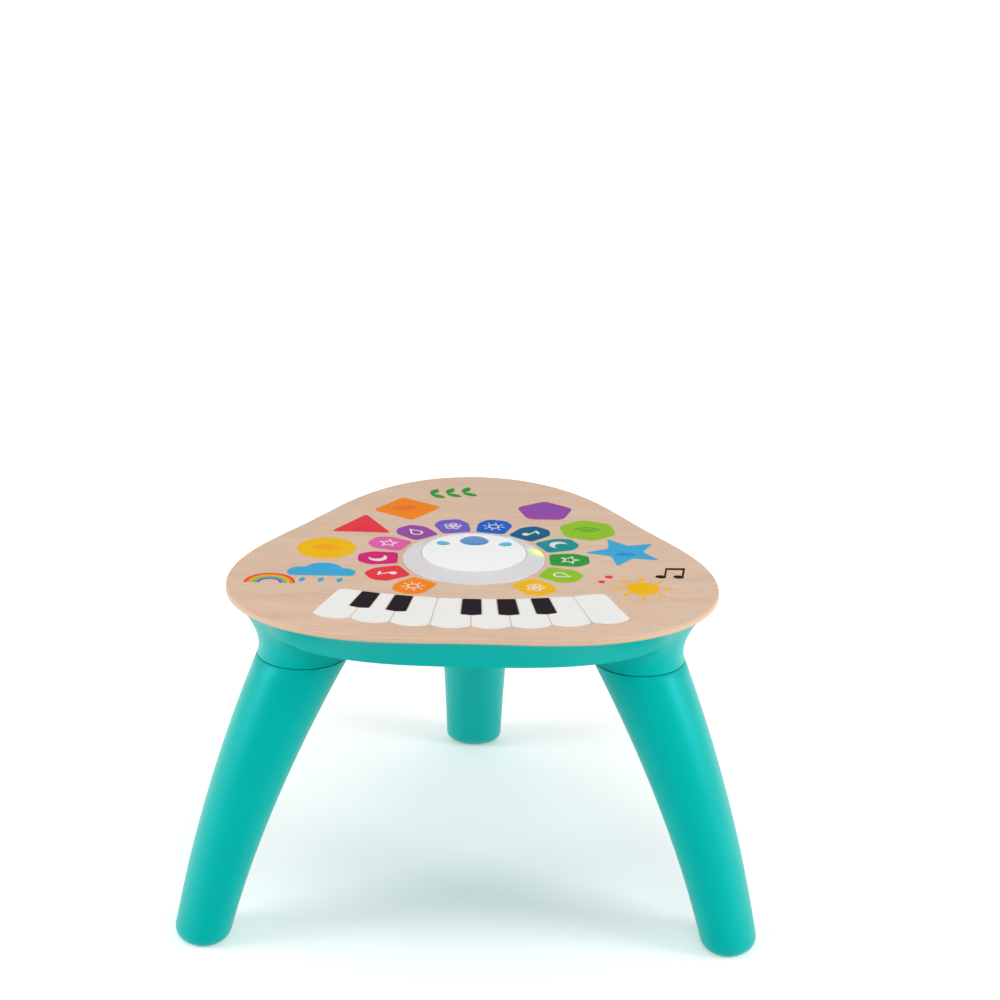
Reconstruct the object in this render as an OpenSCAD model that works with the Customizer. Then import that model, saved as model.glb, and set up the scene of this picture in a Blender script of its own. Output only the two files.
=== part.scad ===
// Musical activity table for a toddler: a printed plywood top on a moulded apron, with three plug-in
// legs, a light-up dome with push buttons in the middle, and the electronics between the top and the
// bottom cover.
// Millimetres, +Z up. The floor is z = 0 and the origin is the middle of the footprint.
// Every module is drawn around the table's own upright axis and then moved by on_table_axis().

/* [Tabletop] */
// Height of the playing surface above the floor
top_height = 360; // [330:5:400]
// Mean radius of the three-lobed outline
top_mean_radius = 238.5; // [225:0.5:250]
// How far the three corners swell and the sides pull in, as a share of the mean radius
top_lobe = 0.1187; // [0.1:0.001:0.13]
// Thickness of the plywood
top_thickness = 6; // [5:0.5:8]
// Rounding of the upper edge
top_edge_radius = 2.5; // [1:0.5:4]
// Thickness of the printed ink
ink_thickness = 0.2; // [0.1:0.05:0.3]

/* [Apron] */
// Height of the apron band under the plywood
apron_height = 29; // [26:1:32]
// Wall thickness of the apron and of the leg stubs
apron_wall = 3; // [2.5:0.5:4]
// How far the band's top stands in from the plywood's edge
apron_top_inset = 3; // [2:0.5:5]
// How far the band's lower edge stands in at the middle of a side
apron_side_inset = 12; // [8:1:14]
// How far the band's lower edge stands in at a corner
apron_corner_inset = 28; // [26:1:32]

/* [Legs] */
// Height of the joint between a leg and its stub
parting_height = 295; // [285:1:300]
// Radius of the circle through the three feet
foot_circle_radius = 314; // [300:1:325]
// Straight part of the lean from the foot to the joint
leg_lean = 74; // [65:1:80]
// Curved part of the lean, which bows the leg outwards
leg_bow = 45.5; // [35:0.5:50]
// Depth of the foot, towards the table's axis
foot_depth = 55.4; // [48:0.2:60]
// Width of the foot
foot_width = 66.2; // [60:0.2:72]
// Diameter of the leg at the joint
leg_top_diameter = 94.6; // [92:0.2:98]
// How late the leg swells on its way up
leg_growth = 1.3; // [1:0.1:2]
// Rounding around the bottom of the foot
foot_rounding = 12; // [6:1:14]
// Wall thickness of the hollow leg
leg_wall = 5; // [4:0.5:5.5]

/* [Dome] */
// Outer radius of the light ring's flange
ring_radius = 74; // [72:0.5:76]
// Radius of the white cap
cap_radius = 54.6; // [53:0.2:56]
// Height of the cap's edge above the plywood
cap_edge_rise = 7.6; // [6:0.2:9]
// Height of the cap's crown above its edge
cap_crown = 3.8; // [3:0.2:5]
// Radius of the round mode button
mode_radius = 14.7; // [12:0.1:16]
// Place of the mode button behind the middle of the dome
mode_y = 25; // [23:0.5:27]
// Sideways place of the two small buttons
small_x = 32.5; // [30:0.5:34]
// Place of the two small buttons behind the middle of the dome
small_y = 18.5; // [16:0.5:20]
// Travel of the push buttons
button_travel = 1.2; // [0.8:0.1:1.4]

/* [Print] */
// Distance of the note tiles from the middle of the dome
tile_circle_radius = 100; // [97:0.5:102]
// Radial length of a note tile
tile_length = 41.5; // [36:0.5:44]
// Width of a note tile
tile_width = 39; // [34:1:41]
// Distance of the point that the piano keys fan out from, behind the middle of the dome
fan_centre_y = 300; // [295:1:305]
// Radius of the keys' upper ends
key_inner_radius = 411; // [408:1:414]
// Radius of the white keys' lower ends
key_outer_radius = 486; // [480:1:488]
// Width of one white key, in degrees of the fan
key_angle = 4.72; // [4.6:0.02:4.8]

/* [Hidden] */

$fn = 64;
over = 1;

// The outlines
outline_steps = 96;
leg_steps = 40;
LEFT = 210;
RIGHT = 330;
BACK = 90;
LEG_ANGLES = [LEFT, RIGHT, BACK];
SIDE_ANGLES = [30, 150, 270];

// Heights
wood_bottom = top_height - top_thickness;
band_bottom = wood_bottom - apron_height;
film_thickness = 0.25;
film_bottom = wood_bottom - film_thickness;
pad_thickness = 0.2;

// Legs and stubs
joint_radius = foot_circle_radius - leg_lean - leg_bow;
leg_top_radius = leg_top_diameter / 2;
stub_waist = 19.9;
stub_flare = 60.1;
stub_ease = 20.6;
stub_steps = 7;
stub_sides = 40;
stub_fill = 26;
band_steps = 4;
spigot_radius = 39;
spigot_wall = 3;
socket_gap = 0.4;
socket_radius = spigot_radius + socket_gap;
socket_depth = 50;
socket_top = parting_height + socket_depth;
flange_radius = 43;
flange_height = 5;
flange_shift = 1.2;
flange_gap = 0.1;
leg_screw_z = parting_height + 17;
leg_screw_radius = 1.9;
leg_screw_head = 3.6;
leg_screw_seat = 45.4;
screw_gap = 0.1;
pad_height = 3;
pad_rise = 0.6;
foot_pad_depth = 26;
foot_pad_width = 34;

// The footprint's middle lies behind the table's axis, because one leg points straight back
front_reach = top_mean_radius * (1 - top_lobe);
back_reach = max([for (z = [pad_rise:1:40]) leg_centre(z) + leg_radial(z) - foot_inset(z)]);
table_axis_y = -(back_reach - front_reach) / 2;

// Bottom cover
cover_thickness = 2.5;
cover_top = band_bottom + cover_thickness;
cover_gap = 0.4;
cover_screw_spread = 17;
cover_screw_inset = 25;
rib_height = 8;
rib_thickness = 2.4;
rib_end_inset = 13.7;
cover_cup_height = 6;
cover_cup_radius = 6;
cover_head_radius = 3.4;
cover_head_height = 2.2;
cover_screw_radius = 1.6;
boss_radius = 5.2;
wood_screw_depth = 4.5;
screw_tip_gap = 0.3;
cup_floor = 2;

// Battery bay with three AA cells
cell_radius = 7.2;
cell_length = 50;
cell_pitch = 15.4;
bay_y = 66;
bay_length = 55.4;
cell_shift = 2;
bay_width = 48;
bay_wall = 2;
bay_top = cover_top + 18.5;
cell_z = cover_top + 8.6;
door_overlap = 7;
door_gap = 0.4;
door_length = bay_length + 2 * door_overlap;
door_width = bay_width + 2 * door_overlap;
door_thickness = 2.2;
door_rim = 2.6;
door_screw_y = bay_y - bay_width / 2 - 4;
contact_thickness = 0.5;

// Speaker
speaker_y = -76;
speaker_radius = 28.5;
speaker_depth = 17;
grille_hole = 1.8;
grille_pitch = 7;

// Boards
board_thickness = 1.6;
main_board_place = [-88, 8];
main_board_size = [64, 46];
main_board_z = cover_top + 9;

// Power switch
switch_place = [86, 2];
switch_travel = 8;
knob_size = [7, 6];
switch_slot = [knob_size[0] + switch_travel + 1.2, knob_size[1] + 1.2];

// Dome
wood_hole_radius = 66;
ring_wall = 2;
skirt_radius = 65.4;
snap_radius = 66.9;
ledge_top = top_height - 4.4;
ledge_bottom = ledge_top - board_thickness;
ledge_inner = 50;
cap_edge_z = top_height + cap_edge_rise;
cap_top_z = cap_edge_z + cap_crown;
cap_wall = 2.2;
cap_ball_radius = (cap_radius * cap_radius + cap_crown * cap_crown) / (2 * cap_crown);
cap_skirt_radius = 53.4;
ring_cap_gap = 0.4;
dome_board_radius = 61;
dome_board_top = ledge_bottom;
cap_screw_circle = 44;
CAP_SCREW_ANGLES = [0, 180, 270];
led_circle = 58;
led_radius = 2.3;
button_rise = 0.9;
button_gap = 0.35;
button_flange = 1.6;
switch_height = 3.6;
plunger_radius = 1.7;
plunger_gap = 0.08;
plunger_top = dome_board_top + switch_height + button_travel + 0.9;
BUTTONS = [[0, mode_y], [-small_x, small_y], [small_x, small_y]];
small_length = 15;
small_width = 10;
small_turn = 60;

// Print
TILE_START = 233.2;
TILE_STEP = -25.8;
key_count = 8;
black_outer_radius = 452.5;
black_angle = 2.56;
black_gap = 1;
key_gap = 1.2;
BLACK_AT = [1, 2, 4, 5, 6];
corner_points = 5;
circle_place = [155.8, 23];
circle_radius = 31;
triangle_place = [122, 92];
diamond_place = [76.5, 151];
star_place = [158.8, 28];
star_radius = 42;
star_waist = 0.46;
shape_radius = 33;
shape_rounding = 8;
diamond_radius = 38;
diamond_turn = 10;
triangle_radius = 37;
triangle_turn = 88;
hexagon_turn = 40;
star_turn = 113;
tile_rounding = 5.5;
key_rounding = 3.5;
key_end_drop = 6;
black_end_drop = 2;
keyboard_rounding = 11;
mark_thickness = 0.1;
mark_scale = 1.5;
bow_place = [-205, -78];
bow_radius = 26;
bow_step = 2.7;
bow_line = 2.4;

// Colours
TEAL = [0.13, 0.69, 0.67];
PLY = [0.87, 0.74, 0.62];
WHITE = [0.95, 0.95, 0.94];
GREY = [0.62, 0.63, 0.64];
STEEL = [0.72, 0.72, 0.74];
DARK = [0.16, 0.16, 0.17];
BOARD_GREEN = [0.08, 0.36, 0.2];
GOLD = [0.78, 0.62, 0.28];

// ---------------------------------------------------------------- functions

// 1 at the middle of each corner, -1 at the middle of each side
function lobe(a) = cos(3 * (a - BACK));

function top_radius(a) = top_mean_radius * (1 + top_lobe * lobe(a));

function polar(r, a) = [r * cos(a), r * sin(a)];

// The outline drawn in by side_inset at the sides, and by corner_inset at the corners
function outline(side_inset, corner_inset) = [
    for (i = [0:outline_steps - 1])
        let (
            a = i * 360 / outline_steps,
            share = (1 + lobe(a)) / 2,
            r = top_radius(a) - side_inset - (corner_inset - side_inset) * share
        )
        polar(r, a)
];

function at_height(points, z) = [for (p = points) [p[0], p[1], z]];

function reversed(list) = [for (i = [len(list) - 1:-1:0]) list[i]];

// The band's cove: it tucks in quickly under the plywood and then hangs almost straight
function band_ring(z, extra) =
    let (
        drop = max(0, (wood_bottom - z) / apron_height),
        curve = pow(drop, 0.7),
        side = apron_top_inset + (apron_side_inset - apron_top_inset) * curve + extra,
        corner = apron_top_inset + (apron_corner_inset - apron_top_inset) * curve + extra
    )
    at_height(outline(side, corner), z);

// Leg sizes at height z: distance of the centre line from the axis, and the oval's two half widths
function leg_share(z) = z / parting_height;

function leg_centre(z) = foot_circle_radius - leg_lean * leg_share(z) - leg_bow * pow(leg_share(z), 2);

function swell(foot, top, z) = foot + (top - foot) * pow(leg_share(z), leg_growth);

function leg_radial(z) = swell(foot_depth / 2, leg_top_radius, z);

function leg_tangent(z) = swell(foot_width / 2, leg_top_radius, z);

// A quarter circle that rounds the foot's lower edge
function foot_inset(z) =
    let (rise = z - pad_rise)
    rise >= foot_rounding ? 0 : foot_rounding - sqrt(pow(foot_rounding, 2) - pow(foot_rounding - rise, 2));

function leg_ring(z, inset) = [
    for (i = [0:leg_steps - 1])
        let (a = i * 360 / leg_steps)
        [leg_centre(z) + (leg_radial(z) - inset) * cos(a), (leg_tangent(z) - inset) * sin(a), z]
];

// Radius of the stub's trumpet at height z: a slight waist above the joint, then a flare up to the plywood
function stub_radius(z) =
    let (s = (z - parting_height) / (wood_bottom - parting_height))
    leg_top_radius - stub_waist * s + stub_flare * s * s - stub_ease * s * s * s;

// Rounds every corner of a polygon: size is how far from the corner the rounding starts
function rounded(points, size) = [
    for (i = [0:len(points) - 1])
        let (
            p = points[i],
            a = points[(i + len(points) - 1) % len(points)],
            b = points[(i + 1) % len(points)],
            start = p + (a - p) / norm(a - p) * size,
            end = p + (b - p) / norm(b - p) * size
        )
        for (k = [0:corner_points])
            let (t = k / corner_points)
            start * (1 - t) * (1 - t) + p * 2 * t * (1 - t) + end * t * t
];

function regular(count, radius, turn) = [for (i = [0:count - 1]) polar(radius, turn + i * 360 / count)];

function star(count, outer, inner, turn) = [
    for (i = [0:2 * count - 1]) polar(i % 2 == 0 ? outer : inner, turn + i * 180 / count)
];

// A point of the keyboard's fan, at an angle from the middle of the front
function fan_point(r, a) = [r * sin(a), fan_centre_y - r * cos(a)];

function fan_arc(r, from, to) = [for (k = [0:4]) fan_point(r, from + (to - from) * k / 4)];

// ---------------------------------------------------------------- helpers

module on_table_axis() {
    translate([0, table_axis_y, 0]) children();
}

module at_leg(a) {
    rotate([0, 0, a]) children();
}

// Skin over a stack of equal rings. It has flat ends, or runs round from the last ring to the first.
module loft(rings, loop = false) {
    n = len(rings[0]);
    m = len(rings);
    points = [for (ring = rings) for (p = ring) p];
    side = [
        for (j = [0:(loop ? m : m - 1) - 1])
            for (i = [0:n - 1])
                let (
                    low = j * n,
                    high = ((j + 1) % m) * n,
                    k = (i + 1) % n
                )
                for (face = [[low + i, high + i, high + k], [low + i, high + k, low + k]]) face
    ];
    ends = loop ? [] : [[for (i = [0:n - 1]) i], [for (i = [n - 1:-1:0]) (m - 1) * n + i]];
    polyhedron(points = points, faces = concat(side, ends));
}

module plate(points, z, height) {
    translate([0, 0, z]) linear_extrude(height) polygon(points);
}

module box(place, size) {
    translate([place[0] - size[0] / 2, place[1] - size[1] / 2, place[2]]) cube(size);
}

module rod(place, radius, height, sides = $fn) {
    translate(place) cylinder(r = radius, h = height, $fn = sides);
}

// Eight-sided ring round point i of a path, square to the path there
function wire_ring(points, i, radius) =
    let (
        before = points[max(0, i - 1)],
        after = points[min(len(points) - 1, i + 1)],
        along = (after - before) / norm(after - before),
        level = cross([0, 0, 1], along),
        side = level / norm(level),
        up = cross(along, side)
    )
    [for (k = [0:7]) points[i] + radius * (side * cos(k * 45) + up * sin(k * 45))];

// Insulated wire through a few points
module wire(points, radius) {
    loft([for (i = [0:len(points) - 1]) wire_ring(points, i, radius)]);
}

module pan_screw(place, shaft_radius, length, head_radius, head_height) {
    rod(place - [0, 0, head_height / 2], shaft_radius, length + head_height / 2);
    rod(place - [0, 0, head_height], head_radius, head_height);
}

cover_screw_angles = [for (side = SIDE_ANGLES) for (turn = [-1, 1]) side + turn * cover_screw_spread];

function cover_screw_places() = [for (a = cover_screw_angles) polar(top_radius(a) - cover_screw_inset, a)];

// ---------------------------------------------------------------- tabletop

module wood_top() {
    edge = top_edge_radius;
    arc = [for (a = [0:22.5:90]) [edge * (1 - cos(a)), top_height - edge * (1 - sin(a))]];
    rings = concat(
        [at_height(outline(0, 0), wood_bottom)],
        [for (step = arc) at_height(outline(step[0], step[0]), step[1])]
    );
    on_table_axis() color(PLY) difference() {
        loft(rings);
        rod([0, 0, wood_bottom - over], wood_hole_radius, top_thickness + 2 * over);
        for (p = cover_screw_places())
            rod(
                [p[0], p[1], wood_bottom - over],
                cover_screw_radius + screw_gap, wood_screw_depth + screw_tip_gap + over
            );
    }
}

// One printed area, as a thin layer on the plywood
module ink(points, height = ink_thickness) {
    plate(points, top_height, height);
}

module tile(index) {
    half = tile_width / 2;
    long = tile_length / 2;
    points = [
        [-long, -half * 0.8],
        [long * 0.4, -half],
        [long, -half * 0.48],
        [long, half * 0.55],
        [long * 0.3, half * 0.96],
        [-long, half * 0.8]
    ];
    rotate([0, 0, TILE_START + index * TILE_STEP])
        translate([tile_circle_radius, 0, 0])
            mirror([0, index < 6 ? 1 : 0, 0])
                ink(rounded(points, tile_rounding));
}

module shape_at(place, points, size) {
    translate([place[0], place[1], 0]) ink(rounded(points, size));
}

module white_key(index) {
    left = (index - key_count / 2) * key_angle;
    right = left + key_angle;
    inner_gap = key_gap / 2 / key_inner_radius * 180 / PI;
    outer_gap = key_gap / 2 / key_outer_radius * 180 / PI;
    points = [
        fan_point(key_inner_radius, left + inner_gap),
        fan_point(key_outer_radius - key_end_drop, left + outer_gap),
        fan_point(key_outer_radius, (left * 2 + right) / 3),
        fan_point(key_outer_radius, (left + right * 2) / 3),
        fan_point(key_outer_radius - key_end_drop, right - outer_gap),
        fan_point(key_inner_radius, right - inner_gap)
    ];
    ink(rounded(points, key_rounding));
}

// Outline of a black key at a boundary between white keys, grown by a gap on every side
function black_key(boundary, grow) =
    let (
        middle = (boundary - key_count / 2) * key_angle,
        half = black_angle / 2 + grow / key_inner_radius * 180 / PI
    )
    rounded([
        fan_point(key_inner_radius - grow, middle - half),
        fan_point(black_outer_radius - black_end_drop + grow, middle - half),
        fan_point(black_outer_radius + grow, middle),
        fan_point(black_outer_radius - black_end_drop + grow, middle + half),
        fan_point(key_inner_radius - grow, middle + half)
    ], 2);

// Fan that rounds off the keyboard's two upper corners and reaches past the keys' lower ends
function keyboard_fan() =
    let (
        edge = key_count / 2 * key_angle,
        middle = 11,
        low = key_outer_radius + 30
    )
    rounded([
        fan_point(key_inner_radius, -edge),
        fan_point(low, -edge),
        fan_point(low, edge),
        fan_point(key_inner_radius, edge),
        fan_point(key_inner_radius, middle),
        fan_point(key_inner_radius, -middle)
    ], keyboard_rounding);

module ink_white() {
    on_table_axis() color(WHITE) difference() {
        intersection() {
            union() for (index = [0:key_count - 1]) white_key(index);
            plate(keyboard_fan(), top_height - over, 2 * over);
        }
        for (b = BLACK_AT) plate(black_key(b, black_gap), top_height - over, 2 * over);
    }
}

module ink_black() {
    on_table_axis() color([0.08, 0.05, 0.09]) {
        for (b = BLACK_AT) ink(black_key(b, 0));
        paired_notes();
    }
}

module ink_orange() {
    on_table_axis() color([0.98, 0.5, 0.09]) {
        tile(0);
        shape_at([-diamond_place[0], diamond_place[1]], regular(4, diamond_radius, diamond_turn), 6);
        bow(1);
        waves([-circle_place[0], circle_place[1]], 0);
    }
}

module ink_red() {
    on_table_axis() color([0.93, 0.2, 0.24]) {
        tile(1);
        shape_at([-triangle_place[0], triangle_place[1]], regular(3, triangle_radius, triangle_turn), 5);
        bow(0);
        waves([-diamond_place[0], diamond_place[1]], 20);
        dots();
    }
}

module ink_magenta() {
    on_table_axis() color([0.85, 0.11, 0.47]) {
        tile(2);
        waves([-triangle_place[0], triangle_place[1] - 9], 0, 2);
    }
}

module ink_pink() {
    on_table_axis() color([0.91, 0.35, 0.68]) tile(3);
}

module ink_purple() {
    on_table_axis() color([0.6, 0.25, 0.61]) {
        tile(4);
        shape_at([diamond_place[0], diamond_place[1]], regular(5, shape_radius, 90), shape_rounding);
        bow(5);
    }
}

module ink_violet() {
    on_table_axis() color([0.42, 0.35, 0.75]) {
        tile(5);
        waves([diamond_place[0], diamond_place[1]], 0);
    }
}

module ink_blue() {
    on_table_axis() color([0.08, 0.37, 0.76]) {
        tile(6);
        waves(star_place - [0, 6], 0, 2);
    }
}

module ink_petrol() {
    on_table_axis() color([0.02, 0.36, 0.5]) tile(7);
}

module ink_teal() {
    on_table_axis() color([0.06, 0.56, 0.58]) tile(8);
}

module ink_green() {
    on_table_axis() color([0.15, 0.58, 0.2]) {
        tile(9);
        leaf_sprig();
        waves([triangle_place[0], triangle_place[1]], 0);
    }
}

module ink_lime() {
    on_table_axis() color([0.57, 0.78, 0.16]) {
        tile(10);
        shape_at(triangle_place, regular(6, shape_radius, hexagon_turn), shape_rounding);
        bow(3);
    }
}

module ink_yellow() {
    on_table_axis() color([0.97, 0.75, 0.06]) {
        tile(11);
        rod([-circle_place[0], circle_place[1], top_height], circle_radius, ink_thickness);
        sun_motif();
        bow(2);
    }
}

module ink_sky() {
    on_table_axis() color([0.24, 0.67, 0.86]) {
        shape_at(star_place, star(5, star_radius, star_radius * star_waist, star_turn), 4);
        cloud_motif();
        bow(4);
    }
}

module hoop(radius, line) {
    difference() {
        circle(r = radius);
        circle(r = radius - line);
    }
}

// Small outline pictures, one for each note tile: sun, note, moon, star, drop and flower
module mark(kind) {
    if (kind == 0) {
        hoop(4.2, 1.1);
        for (a = [0:45:315]) rotate([0, 0, a]) translate([5.4, -0.5]) square([2.4, 1]);
    }
    if (kind == 1) {
        translate([-1.8, -4.4]) circle(r = 2.6);
        translate([-0.4, -4.4]) square([1.2, 11]);
        polygon([[0, 6.6], [5, 3.6], [5, 1.6], [0, 4.2]]);
    }
    if (kind == 2) difference() {
        circle(r = 6.4);
        translate([3.2, 1.2]) circle(r = 5.4);
    }
    if (kind == 3) difference() {
        polygon(star(5, 7.6, 3.6, 90));
        polygon(star(5, 4.9, 2.3, 90));
    }
    if (kind == 4) difference() {
        drop(1);
        drop(0.7);
    }
    if (kind == 5) {
        for (a = [0:72:288]) rotate([0, 0, a]) translate([4.1, 0]) hoop(2.5, 0.9);
        circle(r = 1.2);
    }
}

module drop(share) {
    translate([0, -1.6]) circle(r = 4.6 * share);
    polygon([[-4.2 * share, 0.2 - 0.4 * share], [4.2 * share, 0.2 - 0.4 * share], [0, -1.6 + 9 * share]]);
}

module ink_marks() {
    on_table_axis() color([0.92, 0.93, 0.95]) for (index = [0:11])
        rotate([0, 0, TILE_START + index * TILE_STEP])
            translate([tile_circle_radius, 0, top_height + ink_thickness])
                rotate([0, 0, -90]) linear_extrude(mark_thickness) scale(mark_scale) mark(index % 6);
}

// Bowed lines printed over a large shape, in a colour near the shape's own
module waves(place, turn, count = 3) {
    translate([place[0], place[1] - 9, top_height + ink_thickness])
        rotate([0, 0, turn])
            linear_extrude(mark_thickness)
                for (i = [1:count]) intersection() {
                    hoop(2 + 5.4 * i, 1.8);
                    polygon([[0, 0], [24, 18], [24, 30], [-24, 30], [-24, 18]]);
                }
}

// One coloured bow of the rainbow at the left corner
module bow(index) {
    outer = bow_radius - bow_step * index;
    translate([bow_place[0], bow_place[1], 0]) difference() {
        rod([0, 0, top_height], outer, ink_thickness);
        rod([0, 0, top_height - over], outer - bow_line, 2 * over);
        box([0, -bow_radius, top_height - over], [3 * bow_radius, 2 * bow_radius, 2 * over]);
    }
}

// Two notes under one beam, printed at the right corner
module paired_notes() {
    translate([206, -30, top_height]) rotate([0, 0, -8]) linear_extrude(ink_thickness) {
        for (x = [-9, 9]) {
            translate([x - 3, -11 + x / 6]) scale([1.25, 1]) circle(r = 4.4);
            translate([x, -11 + x / 6]) square([2, 24]);
        }
        polygon([[-9, 8], [11, 11.4], [11, 16.6], [-9, 13.2]]);
    }
}

// Small discs between the note tiles and the sun
module dots() {
    rod([139, -44, top_height], 4.2, ink_thickness);
    rod([131, -58, top_height], 3.6, ink_thickness);
}

// A small plant of paired leaves, printed at the back corner
module leaf_sprig() {
    for (i = [0:2])
        for (side = [-1, 1])
            translate([-52 + 18 * i, 200 + 4 * i, top_height])
                rotate([0, 0, side * 52 + 18])
                    leaf(20, 9);
}

module leaf(length, width) {
    bow = (length * length + width * width) / (4 * width);
    linear_extrude(ink_thickness) intersection() {
        translate([length / 2, bow - width / 2]) circle(r = bow, $fn = 96);
        translate([length / 2, width / 2 - bow]) circle(r = bow, $fn = 96);
    }
}

// A disc with short rays, printed at the right corner
module sun_motif() {
    translate([172, -74, 0]) {
        rod([0, 0, top_height], 17, ink_thickness);
        for (a = [0:45:315])
            rotate([0, 0, a]) ink(rounded([[21, -2.6], [31, -1.2], [31, 1.2], [21, 2.6]], 1.1));
    }
}

// A cloud over three drops, printed at the left corner
module cloud_motif() {
    translate([-156, -46, 0]) {
        difference() {
            union() {
                rod([-20, 0, top_height], 14, ink_thickness);
                rod([2, 6, top_height], 20, ink_thickness);
                rod([24, -1, top_height], 12, ink_thickness);
            }
            box([0, -34, top_height - over], [100, 48, 2 * over]);
        }
        for (x = [-18, 1, 20]) translate([x, -28, top_height]) rotate([0, 0, 80]) leaf(13, 6);
    }
}

// ---------------------------------------------------------------- housing

// Hollow trumpet under each corner: flared outer wall, leg socket and the ring between them
module stub() {
    heights = [for (i = [0:stub_steps]) parting_height + (wood_bottom - parting_height) * i / stub_steps];
    tube = socket_radius + apron_wall;
    profile = concat(
        [for (z = heights) [stub_radius(z), min(z, wood_bottom - 0.2)]],
        [for (z = reversed([for (h = heights) if (h > parting_height + stub_fill) h]))
            [stub_radius(z) - apron_wall, min(z, wood_bottom - 0.2)]],
        [
            [tube, parting_height + stub_fill],
            [tube, socket_top + apron_wall],
            [0, socket_top + apron_wall],
            [0, socket_top],
            [socket_radius, socket_top],
            [socket_radius, parting_height]
        ]
    );
    translate([joint_radius, 0, 0]) {
        rotate_extrude($fn = stub_sides) polygon(profile);
        for (turn = [45:90:315]) rotate([0, 0, turn]) stub_rib();
    }
}

// Tapered rib between the socket's tube and the flared wall
module stub_rib() {
    low = parting_height + stub_fill;
    high = wood_bottom - 3;
    start = socket_radius + 1;
    hull() {
        translate([start, -rib_thickness / 2, low - 1])
            cube([stub_radius(low) - 2 - start, rib_thickness, 1]);
        translate([start, -rib_thickness / 2, high - 1])
            cube([stub_radius(high) - 2.2 - start, rib_thickness, 1]);
    }
}

// Boss for a cover screw, with a tapered rib that ties it to the band's wall
module cover_boss(a) {
    place = polar(top_radius(a) - cover_screw_inset, a);
    low = cover_boss_bottom();
    rod([place[0], place[1], low], boss_radius, wood_bottom - low - 0.1, sides = 24);
    hull() {
        rod([place[0], place[1], low], rib_thickness / 2, 2 * rib_height, sides = 24);
        rotate([0, 0, a])
            translate([top_radius(a) - rib_end_inset - 1, -rib_thickness / 2, low])
                cube([1, rib_thickness, rib_height]);
    }
}

module top_housing() {
    heights = [for (i = [0:band_steps]) band_bottom + apron_height * i / band_steps];
    rings = concat(
        [for (z = heights) band_ring(z, 0)],
        [for (z = reversed(heights)) band_ring(z, apron_wall)]
    );
    on_table_axis() color(TEAL) difference() {
        union() {
            loft(rings, loop = true);
            for (a = LEG_ANGLES) at_leg(a) stub();
            for (a = cover_screw_angles) cover_boss(a);
        }
        for (a = LEG_ANGLES) at_leg(a) {
            leg_screw_hole(leg_screw_radius + screw_gap, $fn = 24);
            translate([joint_radius - leg_screw_seat - 12, 0, leg_screw_z])
                rotate([0, 90, 0]) cylinder(r = leg_screw_head + 0.3, h = 12, $fn = 24);
        }
        for (p = cover_screw_places())
            rod([p[0], p[1], band_bottom], cover_screw_radius + screw_gap, apron_height + over, sides = 24);
    }
}

function cover_boss_bottom() = band_bottom + cover_cup_height;

// Sideways hole through the inner side of a stub and its spigot
module leg_screw_hole(radius) {
    translate([joint_radius - leg_top_radius - 4, 0, leg_screw_z])
        rotate([0, 90, 0]) cylinder(r = radius, h = 24);
}

module bottom_cover() {
    side = apron_side_inset + apron_wall + cover_gap;
    corner = apron_corner_inset + apron_wall + cover_gap;
    bay_outer = [bay_length + 2 * bay_wall, bay_width + 2 * bay_wall, bay_top + bay_wall - band_bottom];
    rim_outer = [door_length + 2 * door_rim, door_width + 2 * door_rim, 2 * door_thickness];
    door_hole = [door_length + door_gap, door_width + door_gap, door_recess() + over];
    on_table_axis() color(TEAL) difference() {
        union() {
            plate(outline(side, corner), band_bottom, cover_thickness);
            box([0, bay_y, band_bottom], bay_outer);
            box([0, bay_y, band_bottom], rim_outer);
            for (p = cover_screw_places())
                rod([p[0], p[1], band_bottom], cover_cup_radius, cover_cup_height);
            for (p = board_posts()) {
                rod([p[0], p[1], band_bottom], 3, main_board_z - band_bottom);
                rod([p[0], p[1], band_bottom], 1.3, main_board_z + board_thickness + 1 - band_bottom);
            }
            difference() {
                rod([0, speaker_y, band_bottom], speaker_radius + 2.4, cover_thickness + 5);
                rod([0, speaker_y, band_bottom], speaker_radius + 0.4, cover_thickness + 6);
            }
            rod([0, door_screw_y, band_bottom], 4.2, cover_thickness + 8.5);
        }
        for (a = LEG_ANGLES) at_leg(a)
            rod([joint_radius, 0, band_bottom - over], stub_radius(cover_top) + 1, 30);
        box([0, bay_y, cover_top - over], [bay_length, bay_width, bay_top - cover_top + over]);
        box([0, bay_y, band_bottom - over], door_hole);
        box([0, bay_y, band_bottom - over], [bay_length, bay_width, 2 * cover_thickness]);
        rod([0, door_screw_y, band_bottom], 1.7, cover_thickness + 6.5);
        for (p = cover_screw_places()) {
            rod(
                [p[0], p[1], band_bottom - over],
                cover_head_radius + cover_gap, cover_cup_height - cup_floor + over
            );
            rod(
                [p[0], p[1], band_bottom - over],
                cover_screw_radius + screw_gap, cover_cup_height + 2 * over
            );
        }
        for (ring = [0:3])
            for (i = [0:max(1, 6 * ring) - 1])
                let (p = polar(ring * grille_pitch, i * 60 / max(1, ring)))
                rod([p[0], speaker_y + p[1], band_bottom - over], grille_hole, 2 * cover_thickness);
        box(
            [switch_place[0], switch_place[1], band_bottom - over],
            [switch_slot[0], switch_slot[1], 2 * cover_thickness]
        );
    }
}

function door_recess() = door_thickness + 0.1;

function board_posts() = [
    for (x = [-1, 1])
        for (y = [-1, 1])
            [
                main_board_place[0] + x * (main_board_size[0] / 2 - 4),
                main_board_place[1] + y * (main_board_size[1] / 2 - 4)
            ]
];

module cover_screws() {
    head_z = band_bottom + cover_cup_height - cup_floor;
    on_table_axis() color(STEEL) for (p = cover_screw_places()) difference() {
        pan_screw(
            [p[0], p[1], head_z], cover_screw_radius, wood_bottom + wood_screw_depth - head_z,
            cover_head_radius, cover_head_height
        );
        cross_slot([p[0], p[1], head_z - cover_head_height]);
    }
}

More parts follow.
